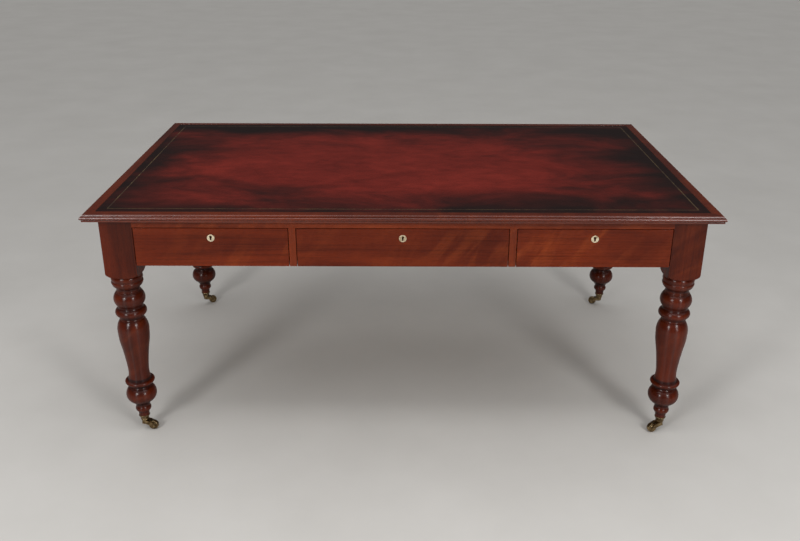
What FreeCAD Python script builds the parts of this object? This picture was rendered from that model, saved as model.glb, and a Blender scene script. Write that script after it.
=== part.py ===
import FreeCAD, Part
import os
import Sketcher

doc = FreeCAD.newDocument("partners_desk")
sheet = doc.addObject("Spreadsheet::Sheet", "Dims")

# Driving dimensions, in millimetres. The desk stands on the floor plane, centred on the origin,
# with its length along X and one set of drawers facing -Y.
dimensions = {
    "top_length": 1880,
    "top_depth": 1150,
    "desk_height": 775,
    "top_thickness": 22,
    "end_overhang": 42,
    "front_overhang": 37,
    "border_width": 37,
    "leather_thickness": 1.5,
    "tongue_length": 8,
    "tongue_thickness": 7,
    "lip_height": 5.8,
    "lip_round": 4.4,
    "quirk_depth": 1.5,
    "quirk_height": 0.8,
    "nose_reach": 6.5,
    "fillet_height": 5.2,
    "fillet_reach": 4.5,
    "leg_block": 97,
    "block_height": 193,
    "pummel_shoulder": 20,
    "castor_height": 55,
    "cup_radius": 16.5,
    "cup_base_radius": 12,
    "cup_base_height": 34,
    "cup_wall": 2.2,
    "cup_floor": 3,
    "cup_lip": 1.2,
    "cup_lip_height": 4,
    "cup_fit": 0.1,
    "swivel_radius": 4,
    "swivel_head_radius": 6.5,
    "swivel_head_height": 2,
    "swivel_head_room": 1.5,
    "swivel_gap": 0.3,
    "running_fit": 0.05,
    "horn_hub_radius": 10,
    "horn_hub_height": 10,
    "horn_arm": 4,
    "axle_boss_radius": 7,
    "axle_radius": 3,
    "wheel_radius": 16,
    "wheel_width": 14,
    "wheel_crown": 1,
    "wheel_gap": 0.8,
    "wheel_rim_gap": 1.6,
    "castor_trail": 28,
    "castor_screw_drop": 10,
    "castor_screw_radius": 1.3,
    "castor_screw_head_radius": 2.6,
    "castor_screw_head_height": 1.6,
    "castor_screw_length": 10,
    "screw_fit": 0.05,
    "tenon_length": 40,
    "tenon_thickness": 12,
    "top_rail_height": 28,
    "top_rail_depth": 70,
    "top_tenon_width": 40,
    "opening_height": 122,
    "bottom_rail_rise": 2,
    "bottom_rail_height": 18,
    "bottom_rail_depth": 45,
    "bottom_tenon_width": 30,
    "finger_gap": 18,
    "end_rail_thickness": 28,
    "end_rail_setback": 2,
    "end_tenon_shoulder": 22,
    "centre_rail_thickness": 24,
    "centre_tenon_length": 15,
    "centre_opening": 634,
    "muntin_width": 21.5,
    "muntin_depth": 60,
    "muntin_tenon_width": 36,
    "muntin_tenon_height": 12,
    "runner_overlap": 20,
    "runner_tongue_length": 8,
    "runner_tongue_height": 6,
    "guide_height": 20,
    "stop_width": 30,
    "stop_height": 25,
    "stop_rise": 22,
    "stop_inset": 40,
    "stop_length": 20.7,
    "stop_gap": 0.3,
    "drawer_gap": 2,
    "drawer_rest_gap": 0.3,
    "front_thickness": 20,
    "dovetail_lap": 6,
    "side_thickness": 11,
    "side_height": 96,
    "back_thickness": 11,
    "back_drop": 8,
    "bottom_thickness": 7,
    "bottom_rise": 8,
    "bottom_groove": 5,
    "escutcheon_radius": 11.25,
    "escutcheon_thickness": 2,
    "escutcheon_proud": 0.4,
    "escutcheon_drop": 30.2,
    "keyhole_rise": 3.5,
    "keyhole_radius": 3.7,
    "keyslot_width": 4.2,
    "keyslot_drop": 10.5,
    "lock_width": 60,
    "lock_height": 50,
    "lock_thickness": 12,
    "lock_plate": 2.5,
    "lock_floor": 4,
    "bolt_width": 24,
    "bolt_thickness": 5.4,
    "bolt_height": 20,
    "bolt_gap": 0.3,
    "bolt_mortise_depth": 9,
    "bolt_mortise_gap": 0.6,
    "top_screw_radius": 2.2,
    "top_screw_head_radius": 4.5,
    "top_screw_head_height": 2.6,
    "top_screw_length": 38,
    "top_screw_setback": 50,
    "hole_end_room": 1,
    "overrun": 2,
}
for row, (alias, length) in enumerate(dimensions.items(), start=1):
    sheet.set(f"A{row}", alias)
    sheet.set(f"B{row}", str(length))
    sheet.setAlias(f"B{row}", alias)
doc.recompute()

# Places that several pieces share, as expressions of the driving dimensions.
face_x = "(Dims.top_length / 2 - Dims.end_overhang)"
face_y = "(Dims.top_depth / 2 - Dims.front_overhang)"
inner_x = f"({face_x} - Dims.leg_block)"
inner_y = f"({face_y} - Dims.leg_block)"
axis_x = f"({face_x} - Dims.leg_block / 2)"
axis_y = f"({face_y} - Dims.leg_block / 2)"
under_top = "(Dims.desk_height - Dims.top_thickness)"
core_top = "(Dims.desk_height - Dims.leather_thickness)"
opening_top = f"({under_top} - Dims.top_rail_height)"
opening_bottom = f"({opening_top} - Dims.opening_height)"
runner_bottom = f"({opening_bottom} + Dims.bottom_rail_rise)"
runner_top = f"({runner_bottom} + Dims.bottom_rail_height)"
end_rail_inner = f"({face_x} - Dims.end_rail_setback - Dims.end_rail_thickness)"
end_rail_height = f"({under_top} - {opening_bottom})"
bottom_rail_front = f"({face_y} - Dims.front_thickness - Dims.finger_gap)"
bottom_rail_back = f"({bottom_rail_front} - Dims.bottom_rail_depth)"
muntin_x = "(Dims.centre_opening / 2 + Dims.muntin_width / 2)"
side_opening = f"({inner_x} - Dims.muntin_width - Dims.centre_opening / 2)"
side_column_x = f"({inner_x} - {side_opening} / 2)"

half_turn = FreeCAD.Placement(FreeCAD.Vector(), FreeCAD.Rotation(FreeCAD.Vector(0, 0, 1), 180))
rows = {"front": FreeCAD.Placement(), "back": half_turn}
corners = {
    "front_left": (-1, -1),
    "front_right": (1, -1),
    "back_left": (-1, 1),
    "back_right": (1, 1),
}
sub_parts = []


def keep(label, piece):
    """Name a finished piece and list it as a sub-part."""
    piece.Label = label
    sub_parts.append(piece)
    return piece


def box(label, low, size):
    """A squared board from its low corner and its size, both given as expressions."""
    board = doc.addObject("Part::Box", label)
    for side, expression in zip(("Length", "Width", "Height"), size):
        board.setExpression(side, expression)
    for axis, expression in zip("xyz", low):
        board.setExpression(f"Placement.Base.{axis}", expression)
    return board


def round_bar(label, base, radius, height, turn=None, tip_radius=None):
    """A cylinder, or a cone when a tip radius is given, along Z or along Z turned."""
    kind = "Part::Cone" if tip_radius else "Part::Cylinder"
    bar = doc.addObject(kind, label)
    if turn:
        bar.Placement = FreeCAD.Placement(FreeCAD.Vector(), turn)
    if tip_radius:
        bar.setExpression("Radius1", radius)
        bar.setExpression("Radius2", tip_radius)
    else:
        bar.setExpression("Radius", radius)
    bar.setExpression("Height", height)
    for axis, expression in zip("xyz", base):
        bar.setExpression(f"Placement.Base.{axis}", expression)
    return bar


def fuse(label, pieces):
    joined = doc.addObject("Part::MultiFuse", label)
    joined.Shapes = pieces
    joined.Refine = True
    return joined


def cut(label, base, tools):
    """The base with every tool taken out of it."""
    rest = doc.addObject("Part::Cut", label)
    rest.Base = base
    rest.Tool = tools[0] if len(tools) == 1 else fuse(f"{label}_tools", tools)
    return rest


def group(label, pieces, placement=None):
    """Separate solids that share one sub-part."""
    compound = doc.addObject("Part::Compound", label)
    compound.Links = pieces
    if placement:
        compound.Placement = placement
    return compound


def sketch_on(body, plane):
    """An empty sketch on one of the body's own origin planes."""
    sketch = body.newObject("Sketcher::SketchObject", f"{body.Name}_outline")
    support = [item for item in body.Origin.OriginFeatures if item.Role == plane][0]
    sketch.AttachmentSupport = (support, [""])
    sketch.MapMode = "FlatFace"
    return sketch


def draw(sketch, path):
    """Close an outline through corners given as (across, up) expressions.

    A step that is a pair of points is an arc: through the first, to the second."""
    def vector(point):
        across, up = (float(sheet.evalExpression(expression)) for expression in point)
        return FreeCAD.Vector(across, up, 0)

    constraints = []
    bound = []

    def pin(geometry, position, point):
        for kind, expression, length in zip(("DistanceX", "DistanceY"), point, vector(point)):
            bound.append((len(constraints), expression))
            constraints.append(Sketcher.Constraint(kind, geometry, position, length))

    steps = [(None, step) if isinstance(step[0], str) else step for step in path]
    ends = [end for _, end in steps]
    edges = []
    for start, (via, end) in zip(ends[-1:] + ends[:-1], steps):
        first, last = vector(start), vector(end)
        if via is None:
            edge = (sketch.addGeometry(Part.LineSegment(first, last)), 1, 2)
        elif (vector(via) - first).cross(last - vector(via)).z > 0:
            edge = (sketch.addGeometry(Part.ArcOfCircle(first, vector(via), last)), 1, 2)
        else:
            edge = (sketch.addGeometry(Part.ArcOfCircle(last, vector(via), first)), 2, 1)
        pin(edge[0], edge[2], end)
        if via is not None:
            mark = sketch.addGeometry(Part.Point(vector(via)), True)
            pin(mark, 1, via)
            constraints.append(Sketcher.Constraint("PointOnObject", mark, 1, edge[0]))
        edges.append(edge)
    for before, after in zip(edges, edges[1:] + edges[:1]):
        constraints.append(Sketcher.Constraint("Coincident", before[0], before[2], after[0], after[1]))
    offset = sketch.ConstraintCount
    sketch.addConstraint(constraints)
    for index, expression in bound:
        sketch.setExpression(f"Constraints[{offset + index}]", expression)


def padded(label, plane, path, length):
    """A body padded evenly to both sides of one of its planes."""
    body = doc.addObject("PartDesign::Body", label)
    sketch = sketch_on(body, plane)
    draw(sketch, path)
    pad = body.newObject("PartDesign::Pad", f"{label}_pad")
    pad.Profile = sketch
    pad.SideType = "Symmetric"
    pad.setExpression("Length", length)
    return body


def turned(label, path):
    """A body turned about its own Z axis from a half outline of (radius, height) points."""
    body = doc.addObject("PartDesign::Body", label)
    sketch = sketch_on(body, "XZ_Plane")
    draw(sketch, path)
    revolution = body.newObject("PartDesign::Revolution", f"{label}_turning")
    revolution.Profile = sketch
    revolution.ReferenceAxis = (sketch, ["V_Axis"])
    return body


def move_to(piece, x, y, turn=None):
    """Stand a piece made about the origin at a place on the floor, turned about Z."""
    if turn is not None:
        spin = FreeCAD.Rotation(FreeCAD.Vector(0, 0, 1), turn)
        piece.Placement = FreeCAD.Placement(FreeCAD.Vector(), spin)
    piece.setExpression("Placement.Base.x", x)
    piece.setExpression("Placement.Base.y", y)
    return piece


def signed(sign, expression):
    return expression if sign > 0 else f"(-{expression})"


# Screws are turned once and set where they are needed. A hole is the same shape with its fit added.
along_y = FreeCAD.Rotation(FreeCAD.Vector(1, 0, 0), -90)
against_y = FreeCAD.Rotation(FreeCAD.Vector(1, 0, 0), 90)


def top_screw(label, share, fit, extra):
    """A countersunk screw driven up through the top rail into the core."""
    x = f"({inner_x} * {share})"
    y = f"(-{face_y} + Dims.top_screw_setback)"
    head = round_bar(
        f"{label}_head",
        (x, y, opening_top),
        f"Dims.top_screw_head_radius + {fit}",
        "Dims.top_screw_head_height",
        tip_radius=f"Dims.top_screw_radius + {fit}",
    )
    shank = round_bar(
        f"{label}_shank",
        (x, y, opening_top),
        f"Dims.top_screw_radius + {fit}",
        f"Dims.top_screw_length + {extra}",
    )
    return fuse(label, [head, shank])


top_screw_shares = (-0.86, -0.2, 0.2, 0.86)
top_screws = []
top_screw_holes = []
for row, placement in rows.items():
    made = [top_screw(f"{row}_top_screw", share, "0", "0") for share in top_screw_shares]
    top_screws.append(group(f"{row}_top_screws", made, placement))
    holes = [
        top_screw(f"{row}_top_screw_hole", share, "Dims.screw_fit", "Dims.hole_end_room")
        for share in top_screw_shares
    ]
    top_screw_holes.append((group(f"{row}_top_screw_holes", holes, placement), holes))
keep("top_fixing_screws", group("top_screw_group", top_screws))

# Top: a core board tongued into four mitred border strips, lined with leather flush with the strips.
panel_length = "(Dims.top_length - 2 * Dims.border_width)"
panel_depth = "(Dims.top_depth - 2 * Dims.border_width)"
core_height = f"({core_top} - {under_top})"
tongue_low = f"({under_top} + (Dims.top_thickness - Dims.tongue_thickness) / 2)"
core_board = box(
    "core_board",
    (f"-{panel_length} / 2", f"-{panel_depth} / 2", under_top),
    (panel_length, panel_depth, core_height),
)
core_tongue = box(
    "core_tongue",
    (
        f"-{panel_length} / 2 - Dims.tongue_length",
        f"-{panel_depth} / 2 - Dims.tongue_length",
        tongue_low,
    ),
    (
        f"{panel_length} + 2 * Dims.tongue_length",
        f"{panel_depth} + 2 * Dims.tongue_length",
        "Dims.tongue_thickness",
    ),
)
core_blank = fuse("core_blank", [core_board, core_tongue])
keep("top_core", cut("core_drilled", core_blank, [holes for holes, _ in top_screw_holes]))
keep(
    "leather_panel",
    box(
        "leather_skin",
        (f"-{panel_length} / 2", f"-{panel_depth} / 2", core_top),
        (panel_length, panel_depth, "Dims.leather_thickness"),
    ),
)


def border_strip(label, run, turn, x, y):
    """A moulded strip along X with its nose at y = 0, mitred at both ends."""
    top = "Dims.desk_height"
    lip = f"({top} - Dims.lip_height)"
    nose_top = f"({lip} - Dims.quirk_height)"
    fillet_top = f"({under_top} + Dims.fillet_height)"
    nose_low = f"({fillet_top} + Dims.quirk_height)"
    tongue_high = f"({tongue_low} + Dims.tongue_thickness)"
    groove = "(Dims.border_width - Dims.tongue_length)"
    round_share = 0.293
    strip = padded(
        label,
        "YZ_Plane",
        [
            ("Dims.border_width", top),
            ("Dims.nose_reach + Dims.lip_round", top),
            (
                (
                    f"Dims.nose_reach + Dims.lip_round * {round_share}",
                    f"{top} - Dims.lip_round * {round_share}",
                ),
                ("Dims.nose_reach", f"{top} - Dims.lip_round"),
            ),
            ("Dims.nose_reach", lip),
            ("Dims.nose_reach + Dims.quirk_depth", lip),
            ("Dims.nose_reach + Dims.quirk_depth", nose_top),
            ("Dims.nose_reach", nose_top),
            (("0", f"({nose_top} + {nose_low}) / 2"), ("Dims.fillet_reach + Dims.quirk_depth", nose_low)),
            ("Dims.fillet_reach + Dims.quirk_depth", fillet_top),
            ("Dims.fillet_reach", fillet_top),
            ("Dims.fillet_reach", under_top),
            ("Dims.border_width", under_top),
            ("Dims.border_width", tongue_low),
            (groove, tongue_low),
            (groove, tongue_high),
            ("Dims.border_width", tongue_high),
        ],
        run,
    )
    mitres = sketch_on(strip, "XY_Plane")
    inside = "(Dims.border_width + Dims.overrun)"
    for sign in (1, -1):
        outer_end = signed(sign, f"({run} / 2 + Dims.overrun)")
        inner_end = signed(sign, f"({run} / 2 - {inside})")
        draw(mitres, [(outer_end, "-Dims.overrun"), (inner_end, inside), (outer_end, inside)])
    pocket = strip.newObject("PartDesign::Pocket", f"{label}_mitres")
    pocket.Profile = mitres
    pocket.Type = "Length"
    pocket.SideType = "Symmetric"
    pocket.setExpression("Length", "2 * (Dims.desk_height + Dims.overrun)")
    return keep(label, move_to(strip, x, y, turn))


border_strip("top_border_front", "Dims.top_length", 0, "0", "-Dims.top_depth / 2")
border_strip("top_border_back", "Dims.top_length", 180, "0", "Dims.top_depth / 2")
border_strip("top_border_right", "Dims.top_depth", 90, "Dims.top_length / 2", "0")
border_strip("top_border_left", "Dims.top_depth", -90, "-Dims.top_length / 2", "0")

# Castor cup: a turned brass socket on the foot of each leg, with a hole for the swivel pin.
spigot_foot = "(Dims.cup_base_height + Dims.cup_floor)"
cup_side_rise = "(Dims.castor_height - Dims.cup_lip_height - Dims.cup_base_height)"
cup_lip_foot = "(Dims.castor_height - Dims.cup_lip_height)"
cup_bore_top = "(Dims.cup_radius - Dims.cup_wall)"
cup_bore_foot = "(Dims.cup_base_radius - Dims.cup_wall)"
cup_turning = turned(
    "cup_turning",
    [
        ("Dims.swivel_radius + Dims.running_fit", "Dims.cup_base_height"),
        ("Dims.cup_base_radius", "Dims.cup_base_height"),
        ("Dims.cup_radius", cup_lip_foot),
        (
            ("Dims.cup_radius + Dims.cup_lip", "Dims.castor_height - Dims.cup_lip_height / 2"),
            ("Dims.cup_radius", "Dims.castor_height"),
        ),
        (cup_bore_top, "Dims.castor_height"),
        (cup_bore_foot, spigot_foot),
        ("Dims.swivel_radius + Dims.running_fit", spigot_foot),
    ],
)
cup_screw_z = "(Dims.castor_height - Dims.castor_screw_drop)"
cup_flank_share = f"(({cup_screw_z} - Dims.cup_base_height) / {cup_side_rise})"
cup_flank = f"(Dims.cup_base_radius + (Dims.cup_radius - Dims.cup_base_radius) * {cup_flank_share})"


def castor_screw(label, sign, fit, extra):
    """A small countersunk screw through the flank of the cup into the foot of the leg."""
    turn = against_y if sign > 0 else along_y
    base = ("0", signed(sign, cup_flank), cup_screw_z)
    radius = f"Dims.castor_screw_radius + {fit}"
    head = round_bar(
        f"{label}_head",
        base,
        f"Dims.castor_screw_head_radius + {fit}",
        "Dims.castor_screw_head_height",
        turn,
        radius,
    )
    shank = round_bar(f"{label}_shank", base, radius, f"Dims.castor_screw_length + {extra}", turn)
    return fuse(label, [head, shank])


cup_screws = [castor_screw("castor_screw", sign, "0", "0") for sign in (1, -1)]
cup_screw_holes = [
    castor_screw("castor_screw_hole", sign, "Dims.screw_fit", "Dims.hole_end_room") for sign in (1, -1)
]
cups = []
screw_pairs = []
for corner, (side, end) in corners.items():
    place = (signed(side, axis_x), signed(end, axis_y))
    cups.append(move_to(cut(f"cup_{corner}", cup_turning, cup_screw_holes), *place))
    screw_pairs.append(move_to(group(f"cup_screws_{corner}", cup_screws), *place))
keep("castor_cups", group("cup_group", cups))
keep("castor_screws", group("cup_screw_group", screw_pairs))

# Legs: turned from one square length of mahogany. The lathe rounds the corners under the block
# into a shoulder, and the foot ends in a tapered spigot inside the castor cup.
# Heights are shares of the turned length, radii are shares of half the block.
turning_shares = [
    (0.000, 0.335),
    (0.030, 0.360),
    ((0.050, 0.510), (0.069, 0.450)),
    (0.073, 0.440),
    (0.082, 0.440),
    (0.083, 0.485),
    (0.087, 0.485),
    ((0.099, 0.580), (0.116, 0.780)),
    ((0.165, 0.995), (0.210, 0.785)),
    (0.213, 0.730),
    (0.216, 0.730),
    ((0.226, 0.680), (0.238, 0.742)),
    ((0.245, 0.900), (0.255, 0.953)),
    ((0.262, 0.945), (0.266, 0.887)),
    (0.269, 0.753),
    ((0.300, 0.686), (0.354, 0.676)),
    ((0.436, 0.765), (0.515, 0.893)),
    ((0.562, 0.970), (0.606, 0.995)),
    ((0.660, 0.948), (0.693, 0.785)),
    (0.695, 0.742),
    (0.701, 0.742),
    ((0.707, 0.720), (0.715, 0.763)),
    (0.717, 0.825),
    (0.723, 0.845),
    ((0.747, 0.995), (0.770, 0.845)),
    (0.772, 0.815),
    ((0.782, 0.773), (0.792, 0.815)),
    (0.794, 0.825),
    ((0.835, 0.995), (0.878, 0.825)),
    (0.880, 0.794),
    (0.885, 0.794),
    (0.887, 0.753),
    (0.892, 0.753),
    ((0.903, 0.735), (0.915, 0.785)),
    ((0.929, 0.925), (0.944, 0.985)),
    ((0.951, 0.996), (0.957, 0.958)),
    (0.958, 0.949),
    (0.963, 0.949),
    ((0.977, 0.995), (0.992, 0.949)),
    (0.993, 0.918),
    (0.998, 0.918),
    (1.000, 0.995),]
pummel_radius_share = 1.43
pummel_via_radius_share = 1.30
pummel_via_rise_share = 0.28
block_bottom = f"({under_top} - Dims.block_height)"
turned_height = f"({block_bottom} - Dims.castor_height)"


def turning_point(shares):
    height_share, radius_share = shares
    return (
        f"Dims.leg_block / 2 * {radius_share}",
        f"Dims.castor_height + {turned_height} * {height_share}",
    )


spigot_top_radius = f"({cup_bore_top} - Dims.cup_fit)"
spigot_foot_radius = f"({cup_bore_foot} - Dims.cup_fit)"
head_pit_top = f"({spigot_foot} + Dims.swivel_gap + Dims.swivel_head_height + Dims.swivel_head_room)"
head_pit_radius = "(Dims.swivel_head_radius + Dims.swivel_head_room)"
leg_outline = [
    ("0", head_pit_top),
    (head_pit_radius, head_pit_top),
    (head_pit_radius, f"{spigot_foot} + Dims.cup_fit"),
    (spigot_foot_radius, f"{spigot_foot} + Dims.cup_fit"),
    (spigot_top_radius, "Dims.castor_height"),
]
for step in turning_shares:
    if isinstance(step[0], tuple):
        leg_outline.append((turning_point(step[0]), turning_point(step[1])))
    else:
        leg_outline.append(turning_point(step))
pummel_radius = f"(Dims.leg_block / 2 * {pummel_radius_share})"
leg_outline += [
    (
        (
            f"Dims.leg_block / 2 * {pummel_via_radius_share}",
            f"{block_bottom} + Dims.pummel_shoulder * {pummel_via_rise_share}",
        ),
        (pummel_radius, f"{block_bottom} + Dims.pummel_shoulder"),
    ),
    (pummel_radius, under_top),
    ("0", under_top),
]
leg_turning = turned("leg_turning", leg_outline)
leg_square = box(
    "leg_square",
    ("-Dims.leg_block / 2", "-Dims.leg_block / 2", "0"),
    ("Dims.leg_block", "Dims.leg_block", under_top),
)
leg_blank = doc.addObject("Part::Common", "leg_blank")
leg_blank.Base = leg_square
leg_blank.Tool = leg_turning

# Tenon heights and thicknesses, used by the rails and by the mortises in the legs.
top_tenon = {
    "y": f"(-{face_y} + (Dims.top_rail_depth - Dims.top_tenon_width) / 2)",
    "z": f"({opening_top} + (Dims.top_rail_height - Dims.tenon_thickness) / 2)",
    "width": "Dims.top_tenon_width",
}
bottom_tenon = {
    "y": f"(-{bottom_rail_front} + (Dims.bottom_rail_depth - Dims.bottom_tenon_width) / 2)",
    "z": f"({runner_bottom} + (Dims.bottom_rail_height - Dims.tenon_thickness) / 2)",
    "width": "Dims.bottom_tenon_width",
}
end_tenon_x = f"({end_rail_inner} + (Dims.end_rail_thickness - Dims.tenon_thickness) / 2)"
end_tenon_z = f"({opening_bottom} + Dims.end_tenon_shoulder)"
end_tenon_height = f"({end_rail_height} - 2 * Dims.end_tenon_shoulder)"


def rail_tenon(label, tenon, side):
    """A tenon on the end of a long rail, at the left or right legs of the front row."""
    low = inner_x if side > 0 else f"(-{inner_x} - Dims.tenon_length)"
    size = ("Dims.tenon_length", tenon["width"], "Dims.tenon_thickness")
    return box(label, (low, tenon["y"], tenon["z"]), size)


def end_rail_tenon(label, side, end):
    """A tenon on the end of an end rail."""
    x = end_tenon_x if side > 0 else f"(-{end_tenon_x} - Dims.tenon_thickness)"
    y = inner_y if end > 0 else f"(-{inner_y} - Dims.tenon_length)"
    size = ("Dims.tenon_thickness", "Dims.tenon_length", end_tenon_height)
    return box(label, (x, y, end_tenon_z), size)


for corner, (side, end) in corners.items():
    blank = group(f"leg_blank_{corner}", [leg_blank])
    move_to(blank, signed(side, axis_x), signed(end, axis_y))
    holes = group(f"leg_screw_holes_{corner}", cup_screw_holes)
    move_to(holes, signed(side, axis_x), signed(end, axis_y))
    row_turn = rows["front"] if end < 0 else rows["back"]
    front_side = side if end < 0 else -side
    rail_mortises = group(
        f"rail_mortises_{corner}",
        [rail_tenon("rail_mortise", tenon, front_side) for tenon in (top_tenon, bottom_tenon)],
        row_turn,
    )
    mortise = end_rail_tenon("end_rail_mortise", side, end)
    keep(f"leg_{corner}", cut(f"leg_mortised_{corner}", blank, [rail_mortises, mortise, holes]))

# Castor horn: a cast brass yoke that swivels on a pin headed over inside the cup. Its two arms
# carry the axle behind the swivel. The wheel is a brass roller with a slightly crowned tread.
hub_top = "(Dims.cup_base_height - Dims.swivel_gap)"
hub_bottom = f"({hub_top} - Dims.horn_hub_height)"
yoke_width = "(Dims.wheel_width + 2 * Dims.wheel_gap + 2 * Dims.horn_arm)"
hub_share = 0.75
back_via_share = 0.80
belly_via_share = 0.35
back_drop_share = 0.24
belly_rise_share = 0.55
hub_edge = f"(Dims.horn_hub_radius * {hub_share})"
horn_drop = f"({hub_top} - Dims.wheel_radius)"
belly_rise = f"({hub_bottom} - Dims.wheel_radius)"
horn_side = padded(
    "horn_side",
    "XZ_Plane",
    [
        (f"-{hub_edge}", hub_top),
        (hub_edge, hub_top),
        (
            (f"Dims.castor_trail * {back_via_share}", f"{hub_top} - {horn_drop} * {back_drop_share}"),
            ("Dims.castor_trail + Dims.axle_boss_radius", "Dims.wheel_radius"),
        ),
        (
            ("Dims.castor_trail", "Dims.wheel_radius - Dims.axle_boss_radius"),
            ("Dims.castor_trail - Dims.axle_boss_radius", "Dims.wheel_radius"),
        ),
        (
            (
                f"Dims.castor_trail * {belly_via_share}",
                f"Dims.wheel_radius + {belly_rise} * {belly_rise_share}",
            ),
            (f"-{hub_edge}", hub_bottom),
        ),
    ],
    yoke_width,
)
horn_hub = round_bar("horn_hub", ("0", "0", hub_bottom), "Dims.horn_hub_radius", "Dims.horn_hub_height")
pin_top = f"({spigot_foot} + Dims.swivel_gap)"
pin_length = f"({pin_top} - {hub_bottom})"
swivel_pin = round_bar("swivel_pin", ("0", "0", hub_bottom), "Dims.swivel_radius", pin_length)
swivel_head = round_bar(
    "swivel_head", ("0", "0", pin_top), "Dims.swivel_head_radius", "Dims.swivel_head_height"
)
horn_solid = fuse("horn_solid", [horn_side, horn_hub, swivel_pin, swivel_head])
slot_width = "(Dims.wheel_width + 2 * Dims.wheel_gap)"
wheel_slot = round_bar(
    "wheel_slot",
    ("Dims.castor_trail", f"-{slot_width} / 2", "Dims.wheel_radius"),
    "Dims.wheel_radius + Dims.wheel_rim_gap",
    slot_width,
    along_y,
)
axle_hole = round_bar(
    "axle_hole",
    ("Dims.castor_trail", f"-{yoke_width} / 2 - Dims.overrun", "Dims.wheel_radius"),
    "Dims.axle_radius + Dims.running_fit",
    f"{yoke_width} + 2 * Dims.overrun",
    along_y,
)
horn = cut("horn", horn_solid, [wheel_slot, axle_hole])
axle = round_bar(
    "axle",
    ("Dims.castor_trail", f"-{yoke_width} / 2", "Dims.wheel_radius"),
    "Dims.axle_radius",
    yoke_width,
    along_y,
)
wheel_bore = "(Dims.axle_radius + Dims.running_fit)"
wheel_edge = "(Dims.wheel_radius - Dims.wheel_crown)"
wheel = turned(
    "wheel",
    [
        (wheel_bore, "-Dims.wheel_width / 2"),
        (wheel_edge, "-Dims.wheel_width / 2"),
        (("Dims.wheel_radius", "0"), (wheel_edge, "Dims.wheel_width / 2")),
        (wheel_bore, "Dims.wheel_width / 2"),
    ],
)
wheel.Placement = FreeCAD.Placement(FreeCAD.Vector(), along_y)
wheel.setExpression("Placement.Base.x", "Dims.castor_trail")
wheel.setExpression("Placement.Base.z", "Dims.wheel_radius")
castor_angles = {"front_left": -5, "front_right": 200, "back_left": 25, "back_right": 155}
for corner, (side, end) in corners.items():
    place = (signed(side, axis_x), signed(end, axis_y), castor_angles[corner])
    keep(f"castor_horn_{corner}", move_to(group(f"horn_group_{corner}", [horn, axle]), *place))
    keep(f"castor_wheel_{corner}", move_to(group(f"wheel_group_{corner}", [wheel]), *place))

# End rails: the deep aprons of the two short sides, tenoned into the legs.
centre_tenon_z = f"({opening_bottom} + Dims.end_tenon_shoulder)"


def centre_tenon(label, side):
    """A tenon of the centre rail, housed in an end rail."""
    low = end_rail_inner if side > 0 else f"(-{end_rail_inner} - Dims.centre_tenon_length)"
    return box(
        label,
        (low, "-Dims.tenon_thickness / 2", centre_tenon_z),
        ("Dims.centre_tenon_length", "Dims.tenon_thickness", end_tenon_height),
    )


for name, side in (("left", -1), ("right", 1)):
    low = end_rail_inner if side > 0 else f"(-{end_rail_inner} - Dims.end_rail_thickness)"
    board = box(
        f"end_rail_board_{name}",
        (low, f"-{inner_y}", opening_bottom),
        ("Dims.end_rail_thickness", f"2 * {inner_y}", end_rail_height),
    )
    tenons = [end_rail_tenon(f"end_tenon_{name}", side, end) for end in (-1, 1)]
    whole = fuse(f"end_rail_whole_{name}", [board] + tenons)
    keep(f"end_rail_{name}", cut(f"end_rail_cut_{name}", whole, [centre_tenon(f"housing_{name}", side)]))

# Centre rail: runs between the end rails behind both rows of drawers.
centre_board = box(
    "centre_board",
    (f"-{end_rail_inner}", "-Dims.centre_rail_thickness / 2", opening_bottom),
    (f"2 * {end_rail_inner}", "Dims.centre_rail_thickness", end_rail_height),
)
centre_tenons = [centre_tenon("centre_tenon", side) for side in (-1, 1)]
keep("centre_rail", fuse("centre_rail_whole", [centre_board] + centre_tenons))

# Drawer columns: the middle of each opening and its width.
columns = {
    "left": (f"(-{side_column_x})", side_opening),
    "centre": ("0", "Dims.centre_opening"),
    "right": (side_column_x, side_opening),
}
front_top = f"({opening_top} - Dims.drawer_gap)"
bolt_y = f"(-{face_y} + Dims.front_thickness - Dims.lock_thickness + Dims.lock_plate + Dims.bolt_gap)"


def bolt_mortise(label, x):
    """The slot in the underside of a top rail that takes a lock bolt."""
    return box(
        label,
        (
            f"{x} - Dims.bolt_width / 2 - Dims.bolt_mortise_gap",
            f"{bolt_y} - Dims.bolt_mortise_gap",
            opening_top,
        ),
        (
            "Dims.bolt_width + 2 * Dims.bolt_mortise_gap",
            "Dims.bolt_thickness + 2 * Dims.bolt_mortise_gap",
            "Dims.bolt_mortise_depth",
        ),
    )


def muntin_tenon(label, side):
    """The tenon on top of a muntin, cut into the top rail."""
    return box(
        label,
        (
            f"{signed(side, muntin_x)} - Dims.tenon_thickness / 2",
            f"-{face_y} + (Dims.muntin_depth - Dims.muntin_tenon_width) / 2",
            opening_top,
        ),
        ("Dims.tenon_thickness", "Dims.muntin_tenon_width", "Dims.muntin_tenon_height"),
    )


def bottom_rail_board(label):
    return box(
        label,
        (f"-{inner_x}", f"-{bottom_rail_front}", runner_bottom),
        (f"2 * {inner_x}", "Dims.bottom_rail_depth", "Dims.bottom_rail_height"),
    )


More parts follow.
